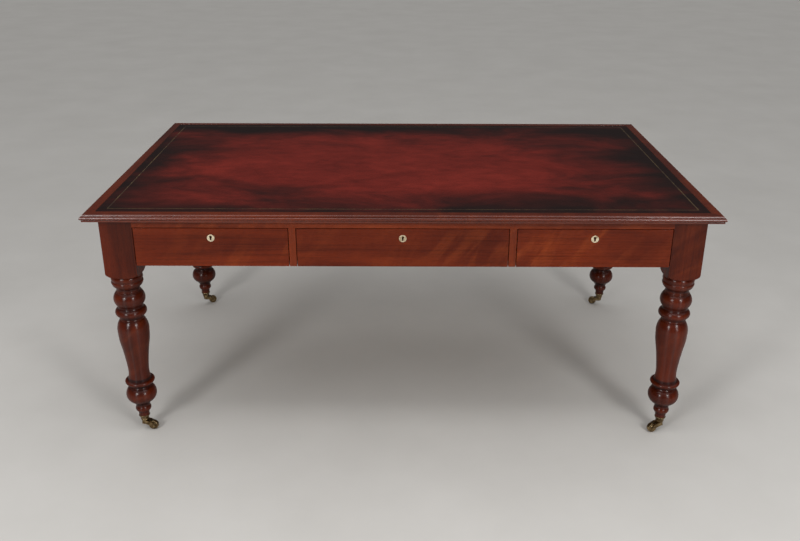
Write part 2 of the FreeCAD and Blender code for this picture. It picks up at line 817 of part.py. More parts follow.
# Long rails and muntins, the same for the front and the back row.
tongue_z = f"({runner_bottom} + (Dims.bottom_rail_height - Dims.runner_tongue_height) / 2)"
for (row, placement), (_, screw_holes) in zip(rows.items(), top_screw_holes):
    board = box(
        f"{row}_top_rail_board",
        (f"-{inner_x}", f"-{face_y}", opening_top),
        (f"2 * {inner_x}", "Dims.top_rail_depth", "Dims.top_rail_height"),
    )
    tenons = [rail_tenon(f"{row}_top_tenon", top_tenon, side) for side in (-1, 1)]
    whole = fuse(f"{row}_top_rail_whole", [board] + tenons)
    mortises = [bolt_mortise(f"{row}_bolt_mortise", x) for x, _ in columns.values()]
    sockets = [muntin_tenon(f"{row}_muntin_socket", side) for side in (-1, 1)]
    rail = cut(f"{row}_top_rail_cut", whole, mortises + sockets + screw_holes)
    rail.Placement = placement
    keep(f"{row}_top_rail", rail)

    tenons = [rail_tenon(f"{row}_bottom_tenon", bottom_tenon, side) for side in (-1, 1)]
    whole = fuse(f"{row}_bottom_rail_whole", [bottom_rail_board(f"{row}_bottom_board")] + tenons)
    groove = box(
        f"{row}_runner_groove",
        (f"-{inner_x}", f"-{bottom_rail_back} - Dims.runner_tongue_length", tongue_z),
        (f"2 * {inner_x}", "Dims.runner_tongue_length", "Dims.runner_tongue_height"),
    )
    rail = cut(f"{row}_bottom_rail_cut", whole, [groove])
    rail.Placement = placement
    keep(f"{row}_bottom_rail", rail)

    muntins = []
    for side in (-1, 1):
        post = box(
            f"{row}_muntin_post",
            (f"{signed(side, muntin_x)} - Dims.muntin_width / 2", f"-{face_y}", opening_bottom),
            ("Dims.muntin_width", "Dims.muntin_depth", "Dims.opening_height"),
        )
        whole = fuse(f"{row}_muntin_whole", [post, muntin_tenon(f"{row}_muntin_tenon", side)])
        muntins.append(cut(f"{row}_muntin", whole, [bottom_rail_board(f"{row}_muntin_notch")]))
    keep(f"{row}_muntins", group(f"{row}_muntin_group", muntins, placement))

# Drawer supports in both rows: runners tongued into the bottom rail, guides beside the drawers,
# kickers above them and stops on the centre rail behind them.
runner_start = f"(-{bottom_rail_back})"
centre_face = "(-Dims.centre_rail_thickness / 2)"
runner_width = "(Dims.muntin_width + 2 * Dims.runner_overlap)"
stop_start = f"({centre_face} - Dims.stop_length)"


def runner(label, low_x, width):
    bar = box(
        f"{label}_bar",
        (low_x, runner_start, runner_bottom),
        (width, f"{centre_face} - {runner_start}", "Dims.bottom_rail_height"),
    )
    tongue = box(
        f"{label}_tongue",
        (low_x, f"{runner_start} - Dims.runner_tongue_length", tongue_z),
        (width, "Dims.runner_tongue_length", "Dims.runner_tongue_height"),
    )
    return fuse(label, [bar, tongue])


def lengthwise(label, low_x, width, start, low_z, height):
    """A strip that runs from a front line back to the centre rail."""
    return box(label, (low_x, start, low_z), (width, f"{centre_face} - {start}", height))


supports = {"drawer_runners": [], "drawer_guides": [], "drawer_kickers": [], "drawer_stops": []}
end_strip = f"({end_rail_inner} - {inner_x})"
for row, placement in rows.items():
    runners, guides, kickers, stops = [], [], [], []
    for side in (-1, 1):
        middle = signed(side, muntin_x)
        runners.append(runner(f"{row}_runner", f"{middle} - {runner_width} / 2", runner_width))
        guides.append(
            lengthwise(
                f"{row}_guide",
                f"{middle} - Dims.muntin_width / 2",
                "Dims.muntin_width",
                f"(-{face_y} + Dims.muntin_depth)",
                runner_top,
                "Dims.guide_height",
            )
        )
        kickers.append(
            lengthwise(
                f"{row}_kicker",
                f"{middle} - {runner_width} / 2",
                runner_width,
                f"(-{face_y} + Dims.top_rail_depth)",
                opening_top,
                "Dims.top_rail_height",
            )
        )
        lip_x = f"({inner_x} - Dims.runner_overlap)" if side > 0 else f"(-{inner_x})"
        runners.append(runner(f"{row}_end_runner", lip_x, "Dims.runner_overlap"))
        guide_x = inner_x if side > 0 else f"(-{end_rail_inner})"
        guides.append(
            lengthwise(
                f"{row}_end_guide",
                guide_x,
                end_strip,
                f"(-{inner_y})",
                runner_bottom,
                "Dims.bottom_rail_height + Dims.guide_height",
            )
        )
        kicker_x = f"({inner_x} - Dims.runner_overlap)" if side > 0 else f"(-{end_rail_inner})"
        kickers.append(
            lengthwise(
                f"{row}_end_kicker",
                kicker_x,
                f"{end_strip} + Dims.runner_overlap",
                f"(-{inner_y})",
                opening_top,
                "Dims.top_rail_height",
            )
        )
        for x, width in columns.values():
            stops.append(
                lengthwise(
                    f"{row}_stop",
                    f"{x} + {signed(side, f'({width} / 2 - Dims.stop_inset)')} - Dims.stop_width / 2",
                    "Dims.stop_width",
                    stop_start,
                    f"{runner_top} + Dims.stop_rise",
                    "Dims.stop_height",
                )
            )
    for node, pieces in zip(supports, (runners, guides, kickers, stops)):
        supports[node].append(group(f"{row}_{node}", pieces, placement))
for node, halves in supports.items():
    keep(node, group(f"{node}_group", halves))

# Drawers: a solid mahogany front, sides lap-dovetailed into it, a back and a grooved-in bottom.
# A brass lock is let into the back of each front, with its bolt and a flush escutcheon.
tail_count = 3
tail_root_share = 0.60
tail_end_share = 0.80
drawer_back_y = f"({stop_start} - Dims.stop_gap)"
side_low = f"({runner_top} + Dims.drawer_rest_gap)"
side_top = f"({side_low} + Dims.side_height)"
bottom_low = f"({side_low} + Dims.bottom_rise)"
bottom_top = f"({bottom_low} + Dims.bottom_thickness)"
front_back = f"(-{face_y} + Dims.front_thickness)"
tail_tip = f"(-{face_y} + Dims.dovetail_lap)"
side_inset = "(Dims.drawer_gap + Dims.side_thickness)"
escutcheon_z = f"({front_top} - Dims.escutcheon_drop)"
key_z = f"({escutcheon_z} + Dims.keyhole_rise)"


def dovetailed_side(label, x):
    """A drawer side along Y, with its tails at the front."""
    pitch = f"(Dims.side_height / {tail_count})"
    path = [(drawer_back_y, side_low), (front_back, side_low)]
    for tail in range(tail_count):
        middle = f"({side_low} + {pitch} * {tail + 0.5})"
        for reach, half_share in (
            (front_back, -tail_root_share / 2),
            (tail_tip, -tail_end_share / 2),
            (tail_tip, tail_end_share / 2),
            (front_back, tail_root_share / 2),
        ):
            path.append((reach, f"{middle} + {pitch} * {half_share}"))
    path += [(front_back, side_top), (drawer_back_y, side_top)]
    side = padded(label, "YZ_Plane", path, "Dims.side_thickness")
    side.setExpression("Placement.Base.x", x)
    return side


def keyhole(label, x):
    """A round hole with a slot below it, cut through the front and the plate of the lock."""
    start = f"(-{face_y} - Dims.overrun)"
    depth = f"({bolt_y} - {start})"
    pin_hole = round_bar(f"{label}_round", (x, start, key_z), "Dims.keyhole_radius", depth, along_y)
    slot = box(
        f"{label}_slot",
        (f"{x} - Dims.keyslot_width / 2", start, f"{key_z} - Dims.keyslot_drop"),
        ("Dims.keyslot_width", depth, "Dims.keyslot_drop"),
    )
    return fuse(label, [pin_hole, slot])


def lock_case(label, x):
    return box(
        label,
        (
            f"{x} - Dims.lock_width / 2",
            f"{front_back} - Dims.lock_thickness",
            f"{front_top} - Dims.lock_height",
        ),
        ("Dims.lock_width", "Dims.lock_thickness", "Dims.lock_height"),
    )


def drawer(name, x, width, placement):
    clear_width = f"({width} - 2 * Dims.drawer_gap)"
    inside_width = f"({width} - 2 * {side_inset})"
    inside_x = f"({x} - {inside_width} / 2)"
    bottom = box(
        f"{name}_bottom",
        (f"{inside_x} - Dims.bottom_groove", f"{front_back} - Dims.bottom_groove", bottom_low),
        (
            f"{inside_width} + 2 * Dims.bottom_groove",
            f"{drawer_back_y} - {front_back} + Dims.bottom_groove",
            "Dims.bottom_thickness",
        ),
    )
    back = box(
        f"{name}_back",
        (inside_x, f"{drawer_back_y} - Dims.back_thickness", bottom_top),
        (inside_width, "Dims.back_thickness", f"{side_top} - Dims.back_drop - {bottom_top}"),
    )
    sides = []
    for side in (-1, 1):
        middle = f"{x} + {signed(side, f'(({inside_width} + Dims.side_thickness) / 2)')}"
        blank = dovetailed_side(f"{name}_side_blank", middle)
        sides.append(cut(f"{name}_side", blank, [bottom]))
    keep(f"{name}_box", group(f"{name}_box_group", sides + [back, bottom], placement))

    seat = round_bar(
        f"{name}_escutcheon_seat",
        (x, f"-{face_y} - Dims.overrun", escutcheon_z),
        "Dims.escutcheon_radius + Dims.running_fit",
        "Dims.overrun + Dims.escutcheon_thickness - Dims.escutcheon_proud",
        along_y,
    )
    board = box(
        f"{name}_board",
        (f"{x} - {clear_width} / 2", f"-{face_y}", opening_bottom),
        (clear_width, "Dims.front_thickness", f"{front_top} - {opening_bottom}"),
    )
    key_cut = keyhole(f"{name}_keyhole", x)
    joints = cut(f"{name}_jointed", board, [*sides, bottom])
    front = cut(f"{name}_front_cut", joints, [lock_case(f"{name}_lock_seat", x), seat, key_cut])
    front.Placement = placement
    keep(f"{name}_front", front)

    cavity = box(
        f"{name}_bolt_slot",
        (
            f"{x} - Dims.bolt_width / 2 - Dims.bolt_gap",
            f"{bolt_y} - Dims.bolt_gap",
            f"{front_top} - Dims.lock_height + Dims.lock_floor",
        ),
        (
            "Dims.bolt_width + 2 * Dims.bolt_gap",
            "Dims.bolt_thickness + 2 * Dims.bolt_gap",
            "Dims.lock_height - Dims.lock_floor",
        ),
    )
    disc = round_bar(
        f"{name}_disc",
        (x, f"-{face_y} - Dims.escutcheon_proud", escutcheon_z),
        "Dims.escutcheon_radius",
        "Dims.escutcheon_thickness",
        along_y,
    )
    case = cut(f"{name}_case", lock_case(f"{name}_case_block", x), [cavity, key_cut])
    escutcheon = cut(f"{name}_escutcheon", disc, [key_cut])
    keep(f"{name}_lock", group(f"{name}_lock_group", [case, escutcheon], placement))
    bolt = box(
        f"{name}_bolt_bar",
        (f"{x} - Dims.bolt_width / 2", bolt_y, f"{front_top} - Dims.bolt_gap - Dims.bolt_height"),
        ("Dims.bolt_width", "Dims.bolt_thickness", "Dims.bolt_height"),
    )
    keep(f"{name}_bolt", group(f"{name}_bolt_group", [bolt], placement))


mirrored_names = {"left": "right", "centre": "centre", "right": "left"}
for row, placement in rows.items():
    for column, (x, width) in columns.items():
        side_name = column if row == "front" else mirrored_names[column]
        drawer(f"drawer_{row}_{side_name}", x, width, placement)

doc.recompute()
failed = [item.Label for item in doc.Objects if {"Invalid", "Error"} & set(item.State)]
for piece in sub_parts:
    if piece.Shape.isNull() or not piece.Shape.isValid() or not piece.Shape.Solids:
        failed.append(piece.Label)
if failed:
    raise RuntimeError("not built: " + ", ".join(failed))

os.makedirs("parts", exist_ok=True)
for piece in sub_parts:
    piece.Shape.exportStep(os.path.join("parts", f"{piece.Label}.step"))
print(len(sub_parts), "sub-parts,", sum(len(piece.Shape.Solids) for piece in sub_parts), "solids")
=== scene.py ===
import math
import random

import bmesh
import bpy
from mathutils import Matrix, Vector


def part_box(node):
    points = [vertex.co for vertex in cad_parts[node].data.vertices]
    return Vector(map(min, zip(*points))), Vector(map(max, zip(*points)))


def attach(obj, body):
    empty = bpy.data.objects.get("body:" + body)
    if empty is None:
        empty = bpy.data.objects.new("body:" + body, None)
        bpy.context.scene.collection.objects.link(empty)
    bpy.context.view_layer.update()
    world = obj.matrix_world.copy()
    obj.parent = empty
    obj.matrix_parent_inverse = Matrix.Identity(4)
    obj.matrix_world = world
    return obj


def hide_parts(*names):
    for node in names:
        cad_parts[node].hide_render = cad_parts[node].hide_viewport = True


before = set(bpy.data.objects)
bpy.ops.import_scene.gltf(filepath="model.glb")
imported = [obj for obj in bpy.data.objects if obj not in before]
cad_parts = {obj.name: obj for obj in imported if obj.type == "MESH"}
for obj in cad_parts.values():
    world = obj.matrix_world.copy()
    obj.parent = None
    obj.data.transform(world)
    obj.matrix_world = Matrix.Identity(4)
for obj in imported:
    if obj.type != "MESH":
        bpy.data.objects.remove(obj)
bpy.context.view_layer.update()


# Legs: four lengths of solid mahogany, turned on the lathe below a square block that takes the rails.
# The tool ran out in a rounded shoulder under the block. French polished, dark in the quirks.
leg_half = 0.0485
leg_top, block_bottom, leg_foot = 0.753, 0.560, 0.055
spigot_length, spigot_tip, spigot_root = 0.012, 0.0120, 0.0142
pummel_rise = 0.020
block_arris, bead_arris = 0.0012, 0.0005
leg_x, leg_y = 0.8495, 0.4895
leg_axes = {
    "front_left": Vector((-leg_x, -leg_y, 0)),
    "front_right": Vector((leg_x, -leg_y, 0)),
    "back_left": Vector((-leg_x, leg_y, 0)),
    "back_right": Vector((leg_x, leg_y, 0)),
}
# Each step is a height and a radius, as shares of the turned length and of half the block.
# A pair of steps is a hollow or a bead: it passes through the first and ends at the second.
turning_shares = [
    (0.000, 0.335),
    (0.030, 0.360),
    ((0.050, 0.510), (0.069, 0.450)),
    (0.073, 0.440),
    (0.082, 0.440),
    (0.083, 0.485),
    (0.087, 0.485),
    ((0.099, 0.580), (0.116, 0.780)),
    ((0.165, 0.995), (0.210, 0.785)),
    (0.213, 0.730),
    (0.216, 0.730),
    ((0.226, 0.680), (0.238, 0.742)),
    ((0.245, 0.900), (0.255, 0.953)),
    ((0.262, 0.945), (0.266, 0.887)),
    (0.269, 0.753),
    ((0.300, 0.686), (0.354, 0.676)),
    ((0.436, 0.765), (0.515, 0.893)),
    ((0.562, 0.970), (0.606, 0.995)),
    ((0.660, 0.948), (0.693, 0.785)),
    (0.695, 0.742),
    (0.701, 0.742),
    ((0.707, 0.720), (0.715, 0.763)),
    (0.717, 0.825),
    (0.723, 0.845),
    ((0.747, 0.995), (0.770, 0.845)),
    (0.772, 0.815),
    ((0.782, 0.773), (0.792, 0.815)),
    (0.794, 0.825),
    ((0.835, 0.995), (0.878, 0.825)),
    (0.880, 0.794),
    (0.885, 0.794),
    (0.887, 0.753),
    (0.892, 0.753),
    ((0.903, 0.735), (0.915, 0.785)),
    ((0.929, 0.925), (0.944, 0.985)),
    ((0.951, 0.996), (0.957, 0.958)),
    (0.958, 0.949),
    (0.963, 0.949),
    ((0.977, 0.995), (0.992, 0.949)),
    (0.993, 0.918),
    (0.998, 0.918),
    (1.000, 0.995),
]
round_steps, lathe_steps = 12, 128
hairsbreadth = 0.000001


def round_through(start, via, end, steps):
    """Points on the round from start through via to end, without the start."""
    (ax, az), (bx, bz), (cx, cz) = start, via, end
    area = 2 * (ax * (bz - cz) + bx * (cz - az) + cx * (az - bz))
    a, b, c = ax * ax + az * az, bx * bx + bz * bz, cx * cx + cz * cz
    middle = Vector((
        (a * (bz - cz) + b * (cz - az) + c * (az - bz)) / area,
        (a * (cx - bx) + b * (ax - cx) + c * (bx - ax)) / area,
    ))
    spoke, waist = Vector(start) - middle, Vector(via) - middle
    sweep = spoke.angle_signed(waist) + waist.angle_signed(Vector(end) - middle)
    points = []
    for step in range(1, steps + 1):
        turn = Matrix.Rotation(-sweep * step / steps, 2)
        points.append(tuple(middle + turn @ spoke))
    return points


def followed(steps):
    """An outline through points and rounds; a round is a point passed, its end point and its steps."""
    outline = []
    for step in steps:
        if isinstance(step[0], tuple):
            outline += round_through(outline[-1], *step)
        else:
            outline.append(step)
    return outline


def spun(outline, steps, closed=False):
    """A bmesh turned about Z from an outline of (radius, height) points."""
    bm = bmesh.new()
    points = [bm.verts.new((radius, 0, height)) for radius, height in outline]
    pairs = list(zip(points, points[1:]))
    if closed:
        pairs.append((points[-1], points[0]))
    edges = [bm.edges.new(pair) for pair in pairs]
    bmesh.ops.spin(
        bm,
        geom=points + edges,
        cent=(0, 0, 0),
        axis=(0, 0, 1),
        angle=math.tau,
        steps=steps,
        use_merge=True,
    )
    bmesh.ops.remove_doubles(bm, verts=bm.verts, dist=hairsbreadth)
    bmesh.ops.recalc_face_normals(bm, faces=bm.faces)
    return bm


def sawn_off(bm, point, normal):
    """Saw away what lies beyond a plane and close the cut."""
    cut = bmesh.ops.bisect_plane(
        bm,
        geom=bm.verts[:] + bm.edges[:] + bm.faces[:],
        dist=hairsbreadth / 10,
        plane_co=point,
        plane_no=normal,
        clear_outer=True,
    )
    rim = [item for item in cut["geom_cut"] if isinstance(item, bmesh.types.BMEdge)]
    bmesh.ops.contextual_create(bm, geom=rim)


def ease_arrises(bm, width, steps=2, least=40, where=None):
    """Take the sharpness off every arris steeper than an angle in degrees."""
    arrises = [
        edge
        for edge in bm.edges
        if edge.is_manifold
        and edge.calc_face_angle() > math.radians(least)
        and (where is None or where(edge))
    ]
    bmesh.ops.bevel(
        bm,
        geom=arrises,
        offset=width,
        offset_type="OFFSET",
        segments=steps,
        profile=0.5,
        affect="EDGES",
        material=-1,
        clamp_overlap=True,
    )


def lay_grain(mesh, along, seed):
    """Store each point's place along, across and into the plank that the piece was cut from."""
    drift = random.Random(seed)
    offset = [drift.uniform(0, 30) for _ in range(3)]
    order = {"X": (0, 2, 1), "Y": (1, 2, 0), "Z": (2, 0, 1)}[along]
    places = mesh.attributes.new("grain", "FLOAT_VECTOR", "POINT")
    for vertex, place in zip(mesh.vertices, places.data):
        place.vector = [vertex.co[axis] + shift for axis, shift in zip(order, offset)]


def finished(bm, name, material, body="frame", stands_for=(), grain=None, seed=0, crisp=38):
    """Make a bmesh a piece: smooth with crisp arrises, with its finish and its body."""
    mesh = bpy.data.meshes.new(name)
    bm.to_mesh(mesh)
    bm.free()
    mesh.shade_smooth()
    mesh.set_sharp_from_angle(angle=math.radians(crisp))
    mesh.materials.append(material)
    if grain:
        lay_grain(mesh, grain, seed)
    piece = bpy.data.objects.new(name, mesh)
    bpy.context.scene.collection.objects.link(piece)
    flats = piece.modifiers.new("even_flats", "WEIGHTED_NORMAL")
    flats.keep_sharp = True
    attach(piece, body)
    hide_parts(*stands_for)
    return piece


def node(tree, kind, inputs=None, **options):
    """Add a shader node, set its options, and fill or wire its inputs."""
    made = tree.nodes.new(kind)
    for option, value in options.items():
        setattr(made, option, value)
    for socket, value in (inputs or {}).items():
        if isinstance(value, bpy.types.NodeSocket):
            tree.links.new(value, made.inputs[socket])
        else:
            made.inputs[socket].default_value = value
    return made


def noise(tree, place, stretch, detail=3.0, roughness=0.5, distortion=0.0, turn=0.0):
    """A cloudy pattern with a number of clouds to the metre along each axis, turned in the face."""
    spread = node(
        tree,
        "ShaderNodeMapping",
        {"Vector": place, "Rotation": (0, 0, turn), "Scale": [1 / clouds for clouds in stretch]},
        vector_type="TEXTURE",
    )
    made = node(
        tree,
        "ShaderNodeTexNoise",
        {
            "Vector": spread.outputs[0],
            "Scale": 1.0,
            "Detail": detail,
            "Roughness": roughness,
            "Distortion": distortion,
        },
    )
    return made.outputs[0]


def shades(tree, factor, stops):
    """A run of colours or greys picked by a factor."""
    made = node(tree, "ShaderNodeValToRGB", {"Fac": factor})
    elements = made.color_ramp.elements
    while len(elements) < len(stops):
        elements.new(0.5)
    for element, (position, colour) in zip(elements, stops):
        element.position = position
        element.color = (colour, colour, colour, 1) if isinstance(colour, float) else (*colour, 1)
    return made.outputs[0]


def blended(tree, kind, factor, first, second):
    """Two colours mixed or multiplied."""
    made = node(tree, "ShaderNodeMix", data_type="RGBA", blend_type=kind)
    for socket, value in ((0, factor), (6, first), (7, second)):
        if isinstance(value, bpy.types.NodeSocket):
            tree.links.new(value, made.inputs[socket])
        else:
            made.inputs[socket].default_value = value if socket == 0 else (*value, 1)
    return made.outputs[2]


def reckon(tree, operation, first, second):
    """One operation of arithmetic on two numbers."""
    return node(tree, "ShaderNodeMath", {0: first, 1: second}, operation=operation).outputs[0]


def ranged(tree, value, low, high, to_low, to_high, smooth=False):
    """A number carried from one range to another, held at the ends."""
    made = node(
        tree,
        "ShaderNodeMapRange",
        {"Value": value, "From Min": low, "From Max": high, "To Min": to_low, "To Max": to_high},
        interpolation_type="SMOOTHSTEP" if smooth else "LINEAR",
    )
    return made.outputs[0]


def new_finish(name):
    """A material, its node tree and its shader."""
    material = bpy.data.materials.new(name)
    material.use_nodes = True
    return material, material.node_tree, material.node_tree.nodes["Principled BSDF"]


def mahogany(name, dark, red, flame, flame_share, polish, haze, unevenness, tool_rings=0.0):
    """Polished mahogany: slow figure with flame patches, long streaks, fine fibres and open pores."""
    material, tree, shader = new_finish(name)
    grain = node(tree, "ShaderNodeAttribute", attribute_name="grain").outputs["Vector"]
    hollow = node(tree, "ShaderNodeAttribute", attribute_name="hollow").outputs["Fac"]
    figure = noise(tree, grain, (1.8, 10, 10), 3, 0.5, 0.6)
    zone = noise(tree, grain, (2.4, 3, 3), 1, 0.5)
    patch = noise(tree, grain, (6.5, 20, 9), 3, 0.55, 0.9, turn=0.95)
    streak = noise(tree, grain, (2.2, 130, 50), 6, 0.62, 0.3)
    fibre = noise(tree, grain, (20, 850, 850), 3, 0.6)
    pore = noise(tree, grain, (55, 1900, 1900), 1, 0.5)
    smudge = noise(tree, grain, (9, 14, 14), 3, 0.6)
    tone = shades(tree, figure, [(0.36, dark), (0.64, red)])
    lit = ranged(tree, patch, 0.40, 0.76, 0.0, flame_share, smooth=True)
    here = ranged(tree, zone, 0.36, 0.62, 0.15, 1.0, smooth=True)
    flamed = blended(tree, "MIX", reckon(tree, "MULTIPLY", lit, here), tone, flame)
    streaks = shades(tree, streak, [(0.30, 0.62), (0.47, 0.88), (0.66, 1.0)])
    streaked = blended(tree, "MULTIPLY", 1.0, flamed, streaks)
    fibred = blended(tree, "MULTIPLY", 1.0, streaked, shades(tree, fibre, [(0.30, 0.80), (0.60, 1.0)]))
    pored = blended(tree, "MULTIPLY", 1.0, fibred, shades(tree, pore, [(0.60, 1.0), (0.70, 0.50)]))
    deep = blended(tree, "MULTIPLY", hollow, pored, (0.22, 0.13, 0.11))
    tree.links.new(deep, shader.inputs["Base Color"])
    tree.links.new(ranged(tree, smudge, 0.3, 0.7, 0.42, 0.50), shader.inputs["Roughness"])
    fibre_height = reckon(tree, "MULTIPLY", fibre, 0.4)
    height = reckon(tree, "ADD", fibre_height, ranged(tree, pore, 0.6, 0.7, 0.3, 0.0))
    relief = node(tree, "ShaderNodeBump", {"Strength": 0.22, "Distance": 0.00010, "Height": height})
    planed = node(
        tree,
        "ShaderNodeBump",
        {"Strength": unevenness, "Distance": 0.0014, "Height": smudge, "Normal": relief.outputs[0]},
    )
    turned_rings = node(
        tree,
        "ShaderNodeBump",
        {
            "Strength": tool_rings,
            "Distance": 0.00012,
            "Height": noise(tree, grain, (420, 9, 9), 2, 0.5),
            "Normal": planed.outputs[0],
        },
    )
    tree.links.new(turned_rings.outputs[0], shader.inputs["Normal"])
    tree.links.new(turned_rings.outputs[0], shader.inputs["Coat Normal"])
    shader.inputs["Specular IOR Level"].default_value = 0.0
    if tool_rings:
        # Sanding on the lathe leaves rings that draw the shine out along the turned part of a leg.
        along = node(tree, "ShaderNodeTangent", direction_type="UV_MAP", uv_map="turning")
        turned = node(tree, "ShaderNodeAttribute", attribute_name="turned").outputs["Fac"]
        tree.links.new(along.outputs[0], shader.inputs["Tangent"])
        tree.links.new(reckon(tree, "MULTIPLY", turned, 0.10), shader.inputs["Specular IOR Level"])
        shader.inputs["Anisotropic"].default_value = 1.0
    shader.inputs["Coat Weight"].default_value = polish
    shader.inputs["Coat Roughness"].default_value = haze
    shader.inputs["Coat IOR"].default_value = 1.5
    return material


leg_wood = mahogany(
    "leg_mahogany",
    dark=(0.064, 0.008, 0.002),
    red=(0.116, 0.014, 0.003),
    flame=(0.168, 0.026, 0.005),
    flame_share=0.5,
    polish=0.38,
    haze=0.19,
    unevenness=0.30,
    tool_rings=0.3,
)
turned_length = block_bottom - leg_foot
spigot_end = leg_foot - spigot_length
outline = [(0.0, spigot_end), (spigot_tip, spigot_end), (spigot_root, leg_foot)]
spigot_points = len(outline)
for step in turning_shares:
    waypoints = [
        (leg_half * radius, leg_foot + turned_length * height)
        for height, radius in (step if isinstance(step[0], tuple) else (step,))
    ]
    if len(waypoints) == 1:
        outline += waypoints
    else:
        outline += round_through(outline[-1], *waypoints, round_steps)
turned_outline = outline[spigot_points:]
past_corner = leg_half * 1.43
outline += round_through(
    outline[-1],
    (leg_half * 1.30, block_bottom + pummel_rise * 0.28),
    (past_corner, block_bottom + pummel_rise),
    round_steps,
)
outline += [(past_corner, leg_top), (0.0, leg_top)]
beside, full_depth = 0.010, 0.011


def hollowness(height, radius):
    """How far a point of the turning lies below the work beside it, from 0 to 1."""
    nearby = [r for r, z in turned_outline if abs(z - height) < beside]
    return min(max((max(nearby) - radius) / full_depth, 0.0), 1.0) if nearby else 0.0


def on_block(edge):
    """Whether an edge lies above the foot of the block."""
    return min(vert.co.z for vert in edge.verts) > block_bottom + bead_arris


def on_bead(edge):
    """Whether an edge is a raised one of the turned part."""
    return edge.is_convex and max(vert.co.z for vert in edge.verts) < block_bottom - bead_arris


for number, (corner, axis) in enumerate(leg_axes.items()):
    bm = spun(outline, lathe_steps)
    for normal in (Vector((1, 0, 0)), Vector((-1, 0, 0)), Vector((0, 1, 0)), Vector((0, -1, 0))):
        sawn_off(bm, normal * leg_half, normal)
    crown = [edge for edge in bm.edges if min(vert.co.z for vert in edge.verts) > leg_top - hairsbreadth]
    bmesh.ops.dissolve_limit(
        bm, angle_limit=0.01, verts=list({vert for edge in crown for vert in edge.verts}), edges=crown
    )
    bmesh.ops.recalc_face_normals(bm, faces=bm.faces)
    ease_arrises(bm, block_arris, steps=3, where=on_block)
    ease_arrises(bm, bead_arris, steps=3, least=25, where=on_bead)
    unrolled = bm.loops.layers.uv.new("turning")
    for face in bm.faces:
        middle = face.calc_center_median()
        facing = math.atan2(middle.y, middle.x)
        for loop in face.loops:
            swing = math.atan2(loop.vert.co.y, loop.vert.co.x) - facing
            swing = (swing + math.pi) % math.tau - math.pi
            loop[unrolled].uv = (loop.vert.co.z, (facing + swing) * leg_half)
    bmesh.ops.translate(bm, verts=bm.verts, vec=axis)
    leg = finished(
        bm,
        f"turned_leg_{corner}",
        leg_wood,
        stands_for=[f"leg_{corner}"],
        grain="Z",
        seed=11 + number,
    )
    depths = leg.data.attributes.new("hollow", "FLOAT", "POINT")
    lathe_work = leg.data.attributes.new("turned", "FLOAT", "POINT")
    for vertex, depth, turned in zip(leg.data.vertices, depths.data, lathe_work.data):
        if vertex.co.z < block_bottom:
            depth.value = hollowness(vertex.co.z, (vertex.co.xy - axis.xy).length)
            turned.value = 1.0


# Castor cups: brass sockets turned with a rolled rim, driven up over the foot of each leg.
# Two slotted brass screws through the flank hold each cup to the wood.
cup_base, cup_rim = 0.034, 0.055
cup_floor = cup_base + 0.0030
pin_bore = 0.00405
screw_drop, screw_reach, screw_lean = 0.010, 0.0150, 10


def brass(name, bright, tarnished, grime, dullness):
    """Old brass: a lacquered yellow metal with brown tarnish and dark grime that gathers in patches."""
    material, tree, shader = new_finish(name)
    place = node(tree, "ShaderNodeTexCoord").outputs["Object"]
    patches = noise(tree, place, (70, 70, 70), 5, 0.65, 0.6)
    specks = noise(tree, place, (900, 900, 900), 3, 0.6)
    scratches = noise(tree, place, (260, 260, 2600), 2, 0.5)
    metal = shades(tree, patches, [(0.30, grime), (0.46, tarnished), (0.66, bright)])
    speckled = blended(tree, "MULTIPLY", 1.0, metal, shades(tree, specks, [(0.34, 0.62), (0.55, 1.0)]))
    tree.links.new(speckled, shader.inputs["Base Color"])
    tarnish = ranged(tree, patches, 0.3, 0.66, dullness + 0.2, dullness)
    rough = reckon(tree, "ADD", tarnish, ranged(tree, scratches, 0.3, 0.7, -0.04, 0.06))
    tree.links.new(rough, shader.inputs["Roughness"])
    dents = node(tree, "ShaderNodeBump", {"Strength": 0.3, "Distance": 0.0002, "Height": patches})
    tree.links.new(dents.outputs[0], shader.inputs["Normal"])
    shader.inputs["Metallic"].default_value = 1.0
    return material


def joined(parts):
    """Several bmeshes in one, each moved to its place by a matrix."""
    whole = bmesh.new()
    for part, place in parts:
        bmesh.ops.transform(part, matrix=place, verts=part.verts)
        shape = bpy.data.meshes.new("part")
        part.to_mesh(shape)
        part.free()
        whole.from_mesh(shape)
        bpy.data.meshes.remove(shape)
    return whole


castor_brass = brass(
    "castor_brass",
    bright=(0.46, 0.34, 0.18),
    tarnished=(0.21, 0.14, 0.068),
    grime=(0.050, 0.031, 0.017),
    dullness=0.20,
)
cup_outline = followed(
    [
        (pin_bore, cup_base),
        (0.0112, cup_base),
        ((0.0118, cup_base + 0.0003), (0.0120, cup_base + 0.0009), 3),
        (0.0122, cup_floor),
        ((0.0135, cup_base + 0.0045), (0.0130, cup_base + 0.0060), 6),
        ((0.0141, cup_base + 0.0115), (0.0162, cup_rim - 0.0040), 8),
        ((0.0180, cup_rim - 0.0020), (0.0166, cup_rim), 8),
        (0.0144, cup_rim),
        (0.0099, cup_floor),
        (pin_bore, cup_floor),
    ]
)
cups = [(spun(cup_outline, 64, closed=True), Matrix.Translation(axis)) for axis in leg_axes.values()]
finished(joined(cups), "castor_socket_cups", castor_brass, stands_for=["castor_cups"])


